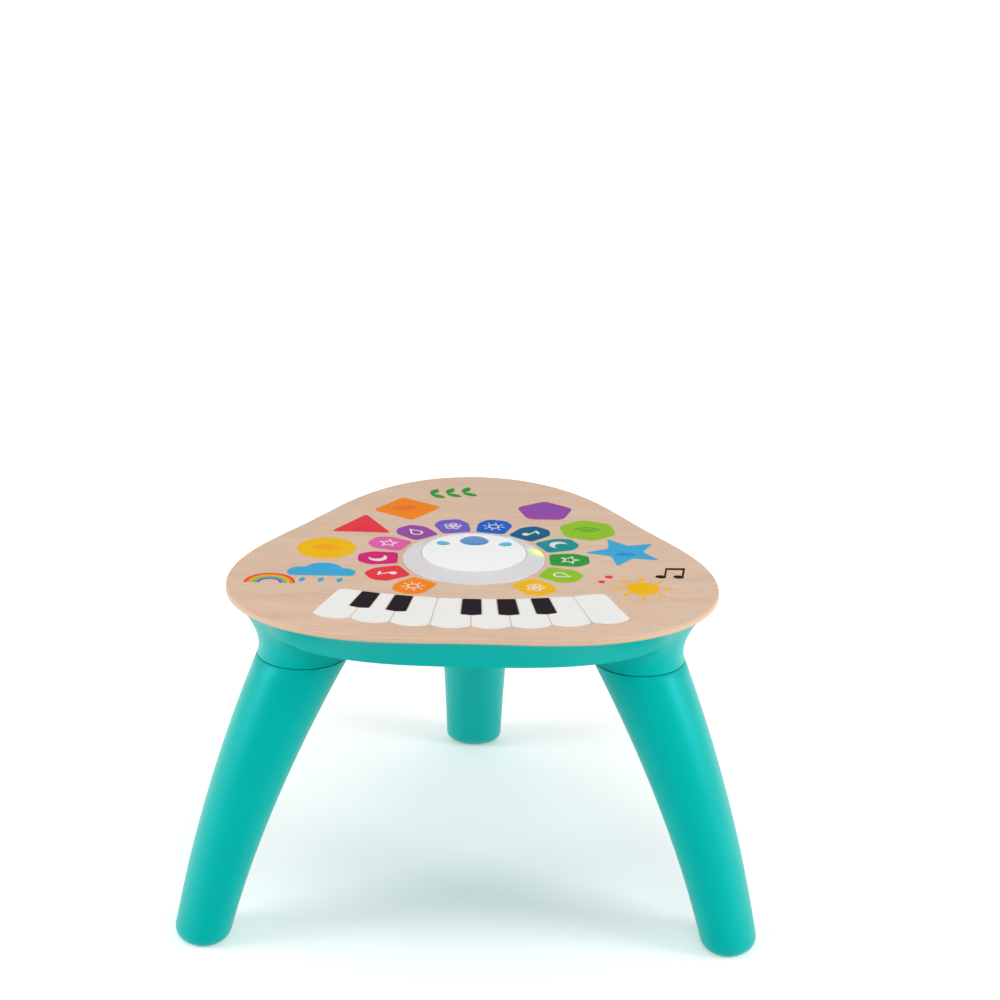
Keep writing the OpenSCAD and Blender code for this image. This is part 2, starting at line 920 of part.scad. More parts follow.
module cross_slot(place) {
    for (turn = [0, 90])
        translate(place) rotate([0, 0, turn]) box([0, 0, -over], [3.6, 0.9, over + 1]);
}

// ---------------------------------------------------------------- battery bay

module battery_door() {
    ridge_count = 5;
    on_table_axis() color(TEAL) difference() {
        box([0, bay_y, band_bottom], [door_length, door_width, door_thickness]);
        rod([0, door_screw_y, band_bottom - over], 1.45, door_thickness + 2 * over);
        rod([0, door_screw_y, band_bottom - over], 3.1, over + 1.1);
        for (i = [0:ridge_count - 1])
            box([0, bay_y + bay_width / 2 - 2 * i - 2, band_bottom - over], [22, 0.8, over + 0.6]);
    }
}

module door_screw() {
    on_table_axis() color(STEEL) difference() {
        pan_screw([0, door_screw_y, band_bottom + 1.1], 1.35, 7, 2.7, 1);
        cross_slot([0, door_screw_y, band_bottom + 0.1]);
    }
}

module battery_cells() {
    on_table_axis() color([0.2, 0.22, 0.26]) for (i = [-1:1]) {
        flip = i == 0 ? 180 : 0;
        translate([(i == 0 ? -1 : 1) * cell_shift, bay_y + i * cell_pitch, cell_z]) rotate([0, 90, flip]) {
            rod([0, 0, -cell_length / 2], cell_radius, cell_length - 1.2);
            rod([0, 0, cell_length / 2 - 1.2], 2.7, 1.2);
        }
    }
}

module battery_contacts() {
    tab = [contact_thickness, 11, 12];
    spring_length = bay_length / 2 - cell_length / 2 - contact_thickness + cell_shift;
    on_table_axis() color(GOLD) for (i = [-1:1]) for (end = [-1, 1]) {
        flip = i == 0 ? -1 : 1;
        end_x = end * (bay_length / 2 - contact_thickness / 2);
        place = [end_x, bay_y + i * cell_pitch, cell_z - tab[2] / 2];
        box(place, tab);
        if (end == -flip)
            translate([end * (bay_length / 2 - contact_thickness), place[1], cell_z])
                rotate([0, -90 * end, 0]) cylinder(r1 = 4, r2 = 2.2, h = spring_length);
    }
}

// ---------------------------------------------------------------- sound and boards

module speaker_frame() {
    on_table_axis() color(GREY) translate([0, speaker_y, cover_top]) rotate_extrude() polygon([
        [speaker_radius - 4, 0], [speaker_radius, 0], [speaker_radius, 2], [19, 9], [18, 10],
        [18, speaker_depth], [0, speaker_depth], [0, 7.5], [7, 7.5], [7, 9], [16, 9], [18, 7.5],
        [speaker_radius - 4, 2]
    ]);
}

module speaker_cone() {
    on_table_axis() color(DARK) translate([0, speaker_y, cover_top + 0.4]) rotate_extrude() polygon([
        [0, 3.2], [7, 4.6], [22, 0.4], [speaker_radius - 4.4, 0.4], [speaker_radius - 4.4, 1.2],
        [22, 1.4], [7, 6.2], [0, 5]
    ]);
}

module main_board() {
    on_table_axis() color(BOARD_GREEN) difference() {
        box(
            [main_board_place[0], main_board_place[1], main_board_z],
            [main_board_size[0], main_board_size[1], board_thickness]
        );
        for (p = board_posts())
            rod([p[0], p[1], main_board_z - over], 1.5, board_thickness + 2 * over);
    }
}

module board_chips() {
    z = main_board_z + board_thickness;
    x = main_board_place[0];
    y = main_board_place[1];
    on_table_axis() color(DARK) {
        box([x - 4, y + 6, z], [12, 12, 2]);
        box([x + 16, y - 8, z], [8, 5, 1.6]);
        box([x - 24, y, z], [5, 22, 2.5]);
        rod([x + 12, y + 12, z], 3, 6);
        rod([x + 20, y + 6, z], 2.5, 5);
    }
}

module touch_film() {
    on_table_axis() color([0.9, 0.86, 0.7]) difference() {
        plate(outline(25, 25), film_bottom, film_thickness);
        rod([0, 0, film_bottom - over], wood_hole_radius + 2, 2 * over);
        for (a = LEG_ANGLES) at_leg(a)
            rod([joint_radius, 0, film_bottom - over], stub_radius(wood_bottom) + 1.5, 2 * over);
        for (p = cover_screw_places()) rod([p[0], p[1], film_bottom - over], boss_radius + 1, 2 * over);
    }
}

// Conductive pads behind each touch area
module sensor_pads() {
    z = film_bottom - pad_thickness;
    key_middle = (black_outer_radius + key_outer_radius) / 2 - 4;
    on_table_axis() color(DARK) difference() {
        union() {
            for (i = [0:11])
                rotate([0, 0, TILE_START + i * TILE_STEP])
                    rod([tile_circle_radius + 1, 0, z], 13, pad_thickness);
            for (side = [-1, 1])
                for (p = [circle_place, triangle_place, diamond_place])
                    rod([side * p[0], p[1], z], 16, pad_thickness);
            for (i = [1:key_count - 2]) {
                p = fan_point(key_middle, (i + 0.5 - key_count / 2) * key_angle);
                rod([p[0], p[1], z], 11, pad_thickness);
            }
            for (b = BLACK_AT) {
                p = fan_point(key_inner_radius + 16, (b - key_count / 2) * key_angle);
                rod([p[0], p[1], z], 8, pad_thickness);
            }
        }
        for (a = LEG_ANGLES) at_leg(a)
            rod([joint_radius, 0, z - over], stub_radius(wood_bottom) + 1.5, 2 * over);
    }
}

module flex_cable() {
    width = 16;
    thick = 0.3;
    x = main_board_place[0] - 24;
    y = main_board_place[1];
    low = main_board_z + board_thickness + 2.5;
    high = film_bottom - thick;
    on_table_axis() color([0.8, 0.52, 0.2]) {
        box([x - 9, y, high], [12, width, thick]);
        box([x - 15 + thick / 2, y, low], [thick, width, high - low + thick]);
        box([x - 6.3, y, low], [17.4, width, thick]);
    }
}

module wires() {
    z = main_board_z + board_thickness + 0.6;
    x = main_board_place[0] + 30;
    y = main_board_place[1];
    bay_side = -bay_length / 2 - bay_wall - 0.7;
    on_table_axis() color([0.75, 0.12, 0.12]) {
        wire([[x, y - 16, z], [x + 20, -40, z + 2], [-19, speaker_y + 6, z + 2]], 0.6);
        wire([[x, y + 12, z], [x + 14, bay_y - 6, z + 1], [bay_side, bay_y + 4, z + 1]], 0.6);
        wire([[x, y, z], [-30, y, z + 7], [-20, 6, dome_board_bottom() - 0.7]], 0.6);
        wire([[x, y - 6, z], [10, -24, z], [switch_place[0] - 12, switch_place[1], z - 4]], 0.6);
    }
}

module power_switch_body() {
    on_table_axis() color(DARK) difference() {
        box([switch_place[0], switch_place[1], cover_top], [24, 14, 6]);
        box(
            [switch_place[0], switch_place[1], cover_top - over],
            [switch_slot[0], switch_slot[1], over + 4]
        );
    }
}

// The knob rests at its off end and slides towards +X
module power_switch_knob() {
    x = switch_place[0] - switch_travel / 2;
    on_table_axis() color(WHITE) difference() {
        box([x, switch_place[1], band_bottom + 0.4], [knob_size[0], knob_size[1], cover_thickness + 3]);
        for (i = [-1:1])
            box([x + 2 * i, switch_place[1], band_bottom - over], [0.8, knob_size[1] + over, over + 1]);
    }
}

// ---------------------------------------------------------------- dome

// Height of the cap's outer surface at distance r from the middle
function cap_height(r) = cap_top_z - cap_ball_radius + sqrt(pow(cap_ball_radius, 2) - r * r);

module light_ring() {
    inner = cap_radius + ring_cap_gap;
    on_table_axis() color([0.85, 0.86, 0.86]) difference() {
        rotate_extrude($fn = 128) polygon([
            [inner, cap_edge_z - 0.4], [inner + 0.6, cap_edge_z], [ring_radius - 1.2, top_height + 1.5],
            [ring_radius - 0.3, top_height + 0.9], [ring_radius, top_height], [skirt_radius, top_height],
            [skirt_radius, wood_bottom - 0.4], [snap_radius, wood_bottom - 0.6],
            [snap_radius - 0.4, wood_bottom - 1.6],
            [skirt_radius, wood_bottom - 2.4], [skirt_radius - ring_wall, wood_bottom - 2.4],
            [skirt_radius - ring_wall, ledge_bottom], [ledge_inner, ledge_bottom], [ledge_inner, ledge_top],
            [skirt_radius - ring_wall, ledge_top], [skirt_radius - ring_wall, top_height],
            [inner + 1.4, cap_edge_z - 1.8], [inner + 1.4, top_height - 1], [inner, top_height - 1]
        ]);
        for (i = [0:11])
            rotate([0, 0, TILE_START + i * TILE_STEP])
                rod([led_circle, 0, ledge_bottom - over], led_radius + 0.3, board_thickness + 2 * over);
    }
}

module dome_cap() {
    steps = 10;
    bore = cap_skirt_radius - cap_wall;
    outer = [for (i = [0:steps]) let (r = (cap_radius - 0.5) * i / steps) [r, cap_height(r)]];
    inner = [for (i = [steps:-1:0]) let (r = bore * i / steps) [r, cap_height(r) - cap_wall]];
    on_table_axis() color(WHITE) difference() {
        union() {
            rotate_extrude($fn = 128) polygon(concat(
                outer,
                [
                    [cap_radius, cap_edge_z - 0.4], [cap_radius, cap_edge_z - 1.6],
                    [cap_skirt_radius, cap_edge_z - 1.6], [cap_skirt_radius, ledge_top], [bore, ledge_top]
                ],
                inner
            ));
            for (a = CAP_SCREW_ANGLES)
                let (p = polar(cap_screw_circle, a))
                rod([p[0], p[1], ledge_bottom], 3.2, cap_edge_z - ledge_bottom);
        }
        rod([0, mode_y, ledge_top], mode_radius + button_gap, 30);
        for (side = [-1, 1]) translate([0, 0, ledge_top]) small_outline(side, button_gap, 30);
        for (a = CAP_SCREW_ANGLES)
            let (p = polar(cap_screw_circle, a))
            rod([p[0], p[1], ledge_bottom - over], 1.3, 9 + over);
    }
}

// A pointed oval, tipped towards the back
module small_outline(side, grow, height) {
    length = small_length + 2 * grow;
    width = small_width + 2 * grow;
    bow = (length * length + width * width) / (4 * width);
    translate([side * small_x, small_y, 0]) rotate([0, 0, 90 - side * small_turn]) linear_extrude(height)
        intersection() {
            translate([0, bow - width / 2]) circle(r = bow, $fn = 96);
            translate([0, width / 2 - bow]) circle(r = bow, $fn = 96);
        }
}

module mode_button() {
    top = cap_height(mode_y) + button_rise;
    flange_top = cap_height(mode_y + mode_radius + button_flange) - cap_wall - 0.5;
    on_table_axis() color([0.12, 0.45, 0.8]) translate([0, mode_y, 0]) rotate_extrude($fn = 96) polygon([
        [0, top], [mode_radius - 5, top - 0.1], [mode_radius - 1.2, top - 0.5],
        [mode_radius - 0.3, top - 1.1], [mode_radius, top - 2], [mode_radius, flange_top],
        [mode_radius + button_flange, flange_top],
        [mode_radius + button_flange, flange_top - 1], [mode_radius - 2, flange_top - 1],
        [mode_radius - 2, top - 2.6], [3, top - 2.6], [3, plunger_top], [0, plunger_top]
    ]);
}

module small_button(side) {
    top = cap_height(norm([small_x, small_y])) + button_rise;
    flange_top = cap_height(norm([small_x, small_y]) + small_length / 2) - cap_wall - 0.5;
    on_table_axis() color([0.42, 0.78, 0.9]) {
        difference() {
            translate([0, 0, flange_top - 0.5]) small_outline(side, 0, top - flange_top + 0.5);
            translate([0, 0, top - 0.6]) difference() {
                small_outline(side, 2, 2);
                translate([0, 0, -over]) small_outline(side, -0.6, 4);
            }
        }
        translate([0, 0, flange_top - 1.2]) small_outline(side, button_flange, 1.2);
        rod([side * small_x, small_y, plunger_top], 2.2, flange_top - 1 - plunger_top);
    }
}

module left_button() {
    small_button(-1);
}

module right_button() {
    small_button(1);
}

module plunger(place) {
    bottom = dome_board_top + switch_height - 1;
    on_table_axis() color(WHITE) rod([place[0], place[1], bottom], plunger_radius, plunger_top - bottom);
}

module mode_plunger() {
    plunger(BUTTONS[0]);
}

module left_plunger() {
    plunger(BUTTONS[1]);
}

module right_plunger() {
    plunger(BUTTONS[2]);
}

module switch_bodies() {
    on_table_axis() color(DARK) for (p = BUTTONS) difference() {
        box([p[0], p[1], dome_board_top], [6, 6, switch_height]);
        rod([p[0], p[1], dome_board_top + 0.6], plunger_radius + plunger_gap, switch_height);
    }
}

function dome_board_bottom() = dome_board_top - board_thickness;

module dome_board() {
    on_table_axis() color(BOARD_GREEN) difference() {
        rod([0, 0, dome_board_bottom()], dome_board_radius, board_thickness);
        for (a = CAP_SCREW_ANGLES)
            let (p = polar(cap_screw_circle, a))
            rod([p[0], p[1], dome_board_bottom() - over], 1.5, board_thickness + 2 * over);
    }
}

module leds() {
    on_table_axis() color([0.95, 0.97, 0.9]) for (i = [0:11])
        rotate([0, 0, TILE_START + i * TILE_STEP]) {
            rod([led_circle, 0, dome_board_top], led_radius, 2.4);
            translate([led_circle, 0, dome_board_top + 2.4]) intersection() {
                sphere(r = led_radius, $fn = 32);
                rod([0, 0, -0.4], 4, 4);
            }
        }
}

module cap_screws() {
    on_table_axis() color(STEEL) for (a = CAP_SCREW_ANGLES)
        let (p = polar(cap_screw_circle, a))
        pan_screw([p[0], p[1], dome_board_bottom()], 1.2, 9, 2.5, 1.6);
}

// ---------------------------------------------------------------- legs

module leg(a) {
    low = [for (step = [0, 0.8, 2.4, 4.6, 7.4, 10.2]) pad_rise + step * foot_rounding / 12];
    count = 9;
    round_top = pad_rise + foot_rounding;
    high = [for (i = [0:count]) round_top + (parting_height - round_top) * i / count];
    floor_z = round_top - 4;
    hollow = [for (i = [0:count]) floor_z + (parting_height - floor_z) * i / count];
    rings = concat(
        [for (z = low) leg_ring(z, foot_inset(z))],
        [for (z = high) leg_ring(z, 0)],
        [for (z = reversed(hollow)) leg_ring(z, leg_wall + (z < round_top ? 2 : 0))]
    );
    on_table_axis() color(TEAL) at_leg(a) difference() {
        loft(rings);
        rod(
            [joint_radius + flange_shift, 0, parting_height - flange_height],
            flange_radius, flange_height + over
        );
        foot_pad_block(-over, pad_height + over, 0.1);
    }
}

// Oval block under the foot, standing on height z
module foot_pad_block(z, height, grow) {
    radius = foot_pad_depth / 2 + grow;
    reach = (foot_pad_width - foot_pad_depth) / 2;
    translate([leg_centre(0), 0, z]) {
        for (side = [-1, 1]) translate([0, side * reach, 0]) cylinder(r = radius, h = height);
        translate([-radius, -reach, 0]) cube([2 * radius, 2 * reach, height]);
    }
}

module foot_pad(a) {
    on_table_axis() color([0.2, 0.2, 0.21]) at_leg(a) foot_pad_block(0, pad_height, 0);
}

// Plug in the leg's mouth, which carries the tube that enters the socket
module spigot(a) {
    bottom = parting_height - flange_height;
    top = socket_top - 2;
    bore = spigot_radius - spigot_wall;
    boss_start = joint_radius - bore - 0.5;
    on_table_axis() color(WHITE) at_leg(a) difference() {
        union() {
            rod([joint_radius + flange_shift, 0, bottom], flange_radius - flange_gap, flange_height);
            translate([joint_radius, 0, 0]) rotate_extrude($fn = 96) polygon([
                [0, bottom + 1], [spigot_radius, bottom + 1], [spigot_radius, top - 2],
                [spigot_radius - 1.5, top], [bore, top], [bore, parting_height], [0, parting_height]
            ]);
            translate([boss_start, 0, leg_screw_z]) rotate([0, 90, 0]) cylinder(r = 4.5, h = 10);
        }
        leg_screw_hole(leg_screw_radius + screw_gap);
    }
}

module leg_screws() {
    head_height = 2.4;
    on_table_axis() color(STEEL) for (a = LEG_ANGLES) at_leg(a)
        translate([joint_radius - leg_screw_seat - head_height, 0, leg_screw_z])
            rotate([0, 90, 0]) difference() {
                union() {
                    cylinder(r = leg_screw_radius, h = 18);
                    cylinder(r = leg_screw_head, h = head_height);
                }
                for (turn = [0, 90]) rotate([0, 0, turn]) box([0, 0, -over], [4, 1, over + 1.2]);
            }
}

module leg_left() {
    leg(LEFT);
}

module leg_right() {
    leg(RIGHT);
}

module leg_back() {
    leg(BACK);
}

module spigot_left() {
    spigot(LEFT);
}

module spigot_right() {
    spigot(RIGHT);
}

module spigot_back() {
    spigot(BACK);
}

module foot_pad_left() {
    foot_pad(LEFT);
}

module foot_pad_right() {
    foot_pad(RIGHT);
}

module foot_pad_back() {
    foot_pad(BACK);
}

// ---------------------------------------------------------------- the nodes

wood_top();
ink_white();
ink_black();
ink_orange();
ink_red();
ink_magenta();
ink_pink();
ink_purple();
ink_violet();
ink_blue();
ink_petrol();
ink_teal();
ink_green();
ink_lime();
ink_yellow();
ink_sky();
ink_marks();
top_housing();
bottom_cover();
cover_screws();
battery_door();
door_screw();
battery_cells();
battery_contacts();
speaker_frame();
speaker_cone();
main_board();
board_chips();
touch_film();
sensor_pads();
flex_cable();
wires();
power_switch_body();
power_switch_knob();
light_ring();
dome_cap();
cap_screws();
mode_button();
left_button();
right_button();
mode_plunger();
left_plunger();
right_plunger();
switch_bodies();
dome_board();
leds();
leg_left();
leg_right();
leg_back();
spigot_left();
spigot_right();
spigot_back();
foot_pad_left();
foot_pad_right();
foot_pad_back();
leg_screws();
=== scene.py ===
"""A toddler's musical activity table: printed plywood top, moulded apron, bowed legs and a light-up dome."""

import logging
import math
from dataclasses import dataclass, field
from enum import Enum
from typing import Any, Callable, Iterable, Sequence

import bmesh
import bpy
from mathutils import Matrix, Vector


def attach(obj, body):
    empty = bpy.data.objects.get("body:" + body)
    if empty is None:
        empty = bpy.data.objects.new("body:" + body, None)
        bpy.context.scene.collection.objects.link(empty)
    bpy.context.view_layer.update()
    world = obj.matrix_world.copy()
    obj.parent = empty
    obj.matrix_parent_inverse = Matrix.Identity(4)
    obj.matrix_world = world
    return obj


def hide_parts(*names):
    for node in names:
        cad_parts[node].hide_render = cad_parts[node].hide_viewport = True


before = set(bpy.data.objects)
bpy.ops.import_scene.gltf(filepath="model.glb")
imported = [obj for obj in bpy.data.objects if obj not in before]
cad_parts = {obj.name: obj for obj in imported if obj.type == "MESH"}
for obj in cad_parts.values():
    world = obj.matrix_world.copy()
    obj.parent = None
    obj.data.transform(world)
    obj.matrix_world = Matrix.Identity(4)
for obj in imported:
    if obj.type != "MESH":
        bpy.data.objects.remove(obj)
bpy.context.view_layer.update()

LOG = logging.getLogger("activity_table")
MM = 0.001
AXIS_Y = -64.4504 * MM
TOP_Z = 360.0 * MM
WOOD_BOTTOM_Z = 354.0 * MM
BAND_BOTTOM_Z = 325.0 * MM
PARTING_Z = 295.0 * MM
# The top's outline is a circle with three lobes, and the leg stubs stand on a circle of their own.
OUTLINE_RADIUS = 238.5 * MM
LOBE_DEPTH = 0.1187
STUB_CIRCLE = 194.5 * MM
TABLE = "table"

Place = Callable[[float], Vector]
Socket = Any


class LegSide(Enum):
    """The three legs, by the direction each one points from the table's axis, in degrees."""

    LEFT = 210
    RIGHT = 330
    BACK = 90


# ------------------------------------------------------------------ colour and node helpers


def hex_to_linear(code: str) -> tuple[float, float, float, float]:
    """Turns an sRGB hex colour into linear RGBA.

    Args:
        code: Six hex digits, such as "14B2AA".

    Returns:
        Red, green, blue in linear light, and an alpha of 1.
    """
    parts = [int(code[i : i + 2], 16) / 255 for i in (0, 2, 4)]
    linear = [c / 12.92 if c <= 0.04045 else ((c + 0.055) / 1.055) ** 2.4 for c in parts]
    return (linear[0], linear[1], linear[2], 1.0)


def add_node(
    tree: bpy.types.NodeTree,
    kind: str,
    settings: dict[str, Any] | None = None,
    values: dict[Any, Any] | None = None,
    links: dict[Any, Socket] | None = None,
) -> bpy.types.Node:
    """Adds one shader node with its settings, its socket values and its incoming links.

    Args:
        tree: Node tree to add to.
        kind: Node type, such as "ShaderNodeTexNoise".
        settings: Attributes of the node.
        values: Values by input socket name or number.
        links: Source sockets by input socket name or number.

    Returns:
        The new node.
    """
    node = tree.nodes.new(kind)
    for name, value in (settings or {}).items():
        setattr(node, name, value)
    for name, value in (values or {}).items():
        node.inputs[name].default_value = value
    for name, source in (links or {}).items():
        tree.links.new(source, node.inputs[name])
    return node


def blank_material(name: str) -> tuple[bpy.types.Material, bpy.types.NodeTree, bpy.types.Node]:
    """Makes a material that holds only a Principled shader and its output.

    Args:
        name: Name of the real material.

    Returns:
        The material, its node tree and its shader node.
    """
    material = bpy.data.materials.new(name)
    material.use_nodes = True
    tree = material.node_tree
    tree.nodes.clear()
    shader = add_node(tree, "ShaderNodeBsdfPrincipled")
    add_node(tree, "ShaderNodeOutputMaterial", links={"Surface": shader.outputs["BSDF"]})
    return material, tree, shader


def object_place(
    tree: bpy.types.NodeTree,
    scale: tuple[float, float, float] = (1, 1, 1),
    shift: tuple[float, float, float] = (0, 0, 0),
) -> Socket:
    """Gives the Object coordinates, in metres, stretched and shifted.

    Args:
        tree: Node tree to add to.
        scale: Factor on each axis.
        shift: Added to each axis after the factor, in scaled metres.

    Returns:
        The socket that carries the place.
    """
    place = add_node(tree, "ShaderNodeTexCoord")
    mapping = add_node(
        tree,
        "ShaderNodeMapping",
        values={"Scale": scale, "Location": shift},
        links={"Vector": place.outputs["Object"]},
    )
    return mapping.outputs["Vector"]


def direct_ray(tree: bpy.types.NodeTree) -> Socket:
    """Gives 1 where the camera, a reflection or a see-through part looks, and 0 for light on a surface.

    Args:
        tree: Node tree to add to.

    Returns:
        The socket that carries the choice.
    """
    path = add_node(tree, "ShaderNodeLightPath")
    mirrored = add_node(
        tree,
        "ShaderNodeMath",
        {"operation": "MAXIMUM"},
        links={0: path.outputs["Is Glossy Ray"], 1: path.outputs["Is Transmission Ray"]},
    )
    seen = add_node(
        tree,
        "ShaderNodeMath",
        {"operation": "MAXIMUM"},
        links={0: path.outputs["Is Camera Ray"], 1: mirrored.outputs[0]},
    )
    return seen.outputs[0]


Linear = tuple[float, float, float, float]


def scaled(colour: Linear, factor: float) -> Linear:
    """Gives a linear colour made lighter or darker by a factor."""
    return (colour[0] * factor, colour[1] * factor, colour[2] * factor, 1)


def add_noise(
    tree: bpy.types.NodeTree,
    size: float,
    values: dict[str, float] | None = None,
    stretch: tuple[float, float, float] = (1, 1, 1),
) -> Socket:
    """Adds a noise pattern in Object coordinates.

    Args:
        tree: Node tree to add to.
        size: Size of the pattern, in millimetres.
        values: The noise node's detail, roughness or distortion.
        stretch: Factor on each axis, below 1 where the pattern runs long.

    Returns:
        The socket that carries the pattern.
    """
    node = add_node(
        tree,
        "ShaderNodeTexNoise",
        values={"Scale": 1 / (size * MM), **(values or {})},
        links={"Vector": object_place(tree, scale=stretch)},
    )
    return node.outputs["Fac"]


def add_ramp(tree: bpy.types.NodeTree, source: Socket, stops: Sequence[tuple[float, Linear]]) -> Socket:
    """Adds a colour ramp.

    Args:
        tree: Node tree to add to.
        source: The value that picks the colour.
        stops: Position and linear colour of each stop, in rising order.

    Returns:
        The socket that carries the colour.
    """
    node = add_node(tree, "ShaderNodeValToRGB", links={"Fac": source})
    ramp = node.color_ramp
    while len(ramp.elements) > 1:
        ramp.elements.remove(ramp.elements[-1])
    ramp.elements[0].position, ramp.elements[0].color = stops[0]
    for position, colour in stops[1:]:
        ramp.elements.new(position).color = colour
    return node.outputs["Color"]


def add_range(tree: bpy.types.NodeTree, source: Socket, low: float, high: float) -> Socket:
    """Spreads a value from 0 to 1 over another range."""
    node = add_node(
        tree, "ShaderNodeMapRange", values={"To Min": low, "To Max": high}, links={"Value": source}
    )
    return node.outputs["Result"]


def add_mix(
    tree: bpy.types.NodeTree, blend: str, share: float | Socket, first: Socket, second: Linear | Socket
) -> Socket:
    """Adds a colour mix.

    Args:
        tree: Node tree to add to.
        blend: Blend type, such as "MULTIPLY".
        share: How much of the second, as a number or a socket.
        first: The colour underneath.
        second: The colour on top, as a linear colour or a socket.

    Returns:
        The socket that carries the mixed colour.
    """
    values: dict[Any, Any] = {}
    links: dict[Any, Socket] = {6: first}
    for number, given in ((0, share), (7, second)):
        holder = values if isinstance(given, (float, tuple)) else links
        holder[number] = given
    node = add_node(tree, "ShaderNodeMix", {"data_type": "RGBA", "blend_type": blend}, values, links)
    return node.outputs[2]


def add_bump(
    tree: bpy.types.NodeTree, shader: bpy.types.Node, height: Socket, strength: float, depth: float
) -> None:
    """Roughens a shader's surface by a pattern, with the depth in millimetres."""
    bump = add_node(
        tree,
        "ShaderNodeBump",
        values={"Strength": strength, "Distance": depth * MM},
        links={"Height": height},
    )
    tree.links.new(bump.outputs["Normal"], shader.inputs["Normal"])


# ------------------------------------------------------------------ finishes


@dataclass(frozen=True)
class MouldedPlastic:
    """Injection-moulded ABS or nylon: even colour, a fine satin texture and a soft wide highlight."""

    name: str
    colour: str
    roughness: float = 0.42
    texture_mm: float = 1.1
    texture_depth: float = 0.06
    mottle: float = 0.02
    subsurface: float = 0.0
    shine: float = 0.3
    sheen_tint: str = "FFFFFF"
    glow_depth: float = 4 * MM

    def material(self) -> bpy.types.Material:
        """Builds the material."""
        material, tree, shader = blank_material(self.name)
        colour = hex_to_linear(self.colour)
        # Slight flow marks: broad patches a little lighter and darker, 60 mm across.
        patches = add_noise(tree, 60, {"Detail": 2.0, "Roughness": 0.5})
        stops = [(0.3, scaled(colour, 1 - self.mottle)), (0.7, scaled(colour, 1 + self.mottle))]
        tree.links.new(add_ramp(tree, patches, stops), shader.inputs["Base Color"])
        # The real spark texture is about 0.3 mm, too fine to show, so it is drawn at texture_mm.
        grain = add_noise(tree, self.texture_mm, {"Detail": 3.0, "Roughness": 0.6})
        add_bump(tree, shader, grain, self.texture_depth, 0.3)
        # Handling polishes the texture a little in patches.
        sheen = add_range(tree, patches, self.roughness - 0.04, self.roughness + 0.05)
        tree.links.new(sheen, shader.inputs["Roughness"])
        shader.inputs["IOR"].default_value = 1.49
        shader.inputs["Specular IOR Level"].default_value = self.shine
        # Pigment near the surface tints the soft reflection of a deeply coloured plastic.
        shader.inputs["Specular Tint"].default_value = hex_to_linear(self.sheen_tint)
        if self.subsurface:
            shader.inputs["Subsurface Weight"].default_value = self.subsurface
            shader.inputs["Subsurface Radius"].default_value = (self.glow_depth,) * 3
            shader.inputs["Subsurface Scale"].default_value = 1.0
        return material


@dataclass(frozen=True)
class BasswoodPlywood:
    """Lacquered light plywood: pale veneer with long faint grain, and the plies' stripes along the edge."""

    name: str = "Basswood plywood, satin lacquer"
    face: str = "E0C1A8"
    face_dark: str = "D6B397"
    face_light: str = "E5C8B0"
    ply_light: str = "E2C3A9"
    ply_middle: str = "DDB99C"
    ply_dark: str = "CFA486"
    fleck: Linear = (0.80, 0.74, 0.68, 1)

    def material(self) -> bpy.types.Material:
        """Builds the material."""
        material, tree, shader = blank_material(self.name)
        # Growth rings cut flat: streaks about 3 mm apart that run 20 times as long, along X.
        streaks = add_noise(
            tree, 3, {"Detail": 6.0, "Roughness": 0.6, "Distortion": 0.4}, stretch=(0.05, 1.0, 1.0)
        )
        # Broad figure: darker and lighter bands about 45 mm wide.
        bands = add_noise(
            tree, 45, {"Detail": 3.0, "Roughness": 0.5, "Distortion": 0.8}, stretch=(0.22, 1.0, 1.0)
        )
        # Pores: short dark flecks about 0.9 mm wide that run 17 times as long.
        pores = add_noise(tree, 0.9, {"Detail": 2.0, "Roughness": 0.5}, stretch=(0.06, 1.0, 1.0))
        mixed = add_node(
            tree,
            "ShaderNodeMix",
            {"data_type": "FLOAT"},
            values={0: 0.45},
            links={2: streaks, 3: bands},
        )
        face_stops = [
            (0.34, hex_to_linear(self.face_dark)),
            (0.54, hex_to_linear(self.face)),
            (0.68, hex_to_linear(self.face_light)),
        ]
        face = add_ramp(tree, mixed.outputs[0], face_stops)
        flecks = add_ramp(tree, pores, [(0.30, self.fleck), (0.42, (1, 1, 1, 1))])
        veneer = add_mix(tree, "MULTIPLY", 0.6, face, flecks)
        # Plies: five layers in the 6 mm board, face veneers light and cross plies darker.
        height = add_node(tree, "ShaderNodeSeparateXYZ", links={"Vector": object_place(tree)})
        share = add_node(
            tree,
            "ShaderNodeMapRange",
            values={"From Min": WOOD_BOTTOM_Z, "From Max": TOP_Z},
            links={"Value": height.outputs["Z"]},
        )
        light, middle, dark = map(hex_to_linear, (self.ply_light, self.ply_middle, self.ply_dark))
        ply_stops = [
            (0.0, light), (0.13, light), (0.15, dark), (0.19, middle), (0.36, middle), (0.38, light),
            (0.60, light), (0.62, dark), (0.66, middle), (0.80, middle), (0.82, light), (1.0, light),
        ]
        layers = add_ramp(tree, share.outputs["Result"], ply_stops)
        fibres = add_mix(tree, "MULTIPLY", 0.5, layers, flecks)
        # The face shows where the surface points up, and the plies show on the upright edge.
        shape = add_node(tree, "ShaderNodeNewGeometry")
        tilt = add_node(tree, "ShaderNodeSeparateXYZ", links={"Vector": shape.outputs["Normal"]})
        upward = add_node(
            tree,
            "ShaderNodeMapRange",
            {"interpolation_type": "SMOOTHSTEP"},
            values={"From Min": 0.55, "From Max": 0.9},
            links={"Value": tilt.outputs["Z"]},
        )
        colour = add_mix(tree, "MIX", upward.outputs["Result"], fibres, veneer)
        tree.links.new(colour, shader.inputs["Base Color"])
        add_bump(tree, shader, pores, 0.05, 0.2)
        tree.links.new(add_range(tree, streaks, 0.40, 0.52), shader.inputs["Roughness"])
        shader.inputs["IOR"].default_value = 1.5
        shader.inputs["Specular IOR Level"].default_value = 0.16
        return material


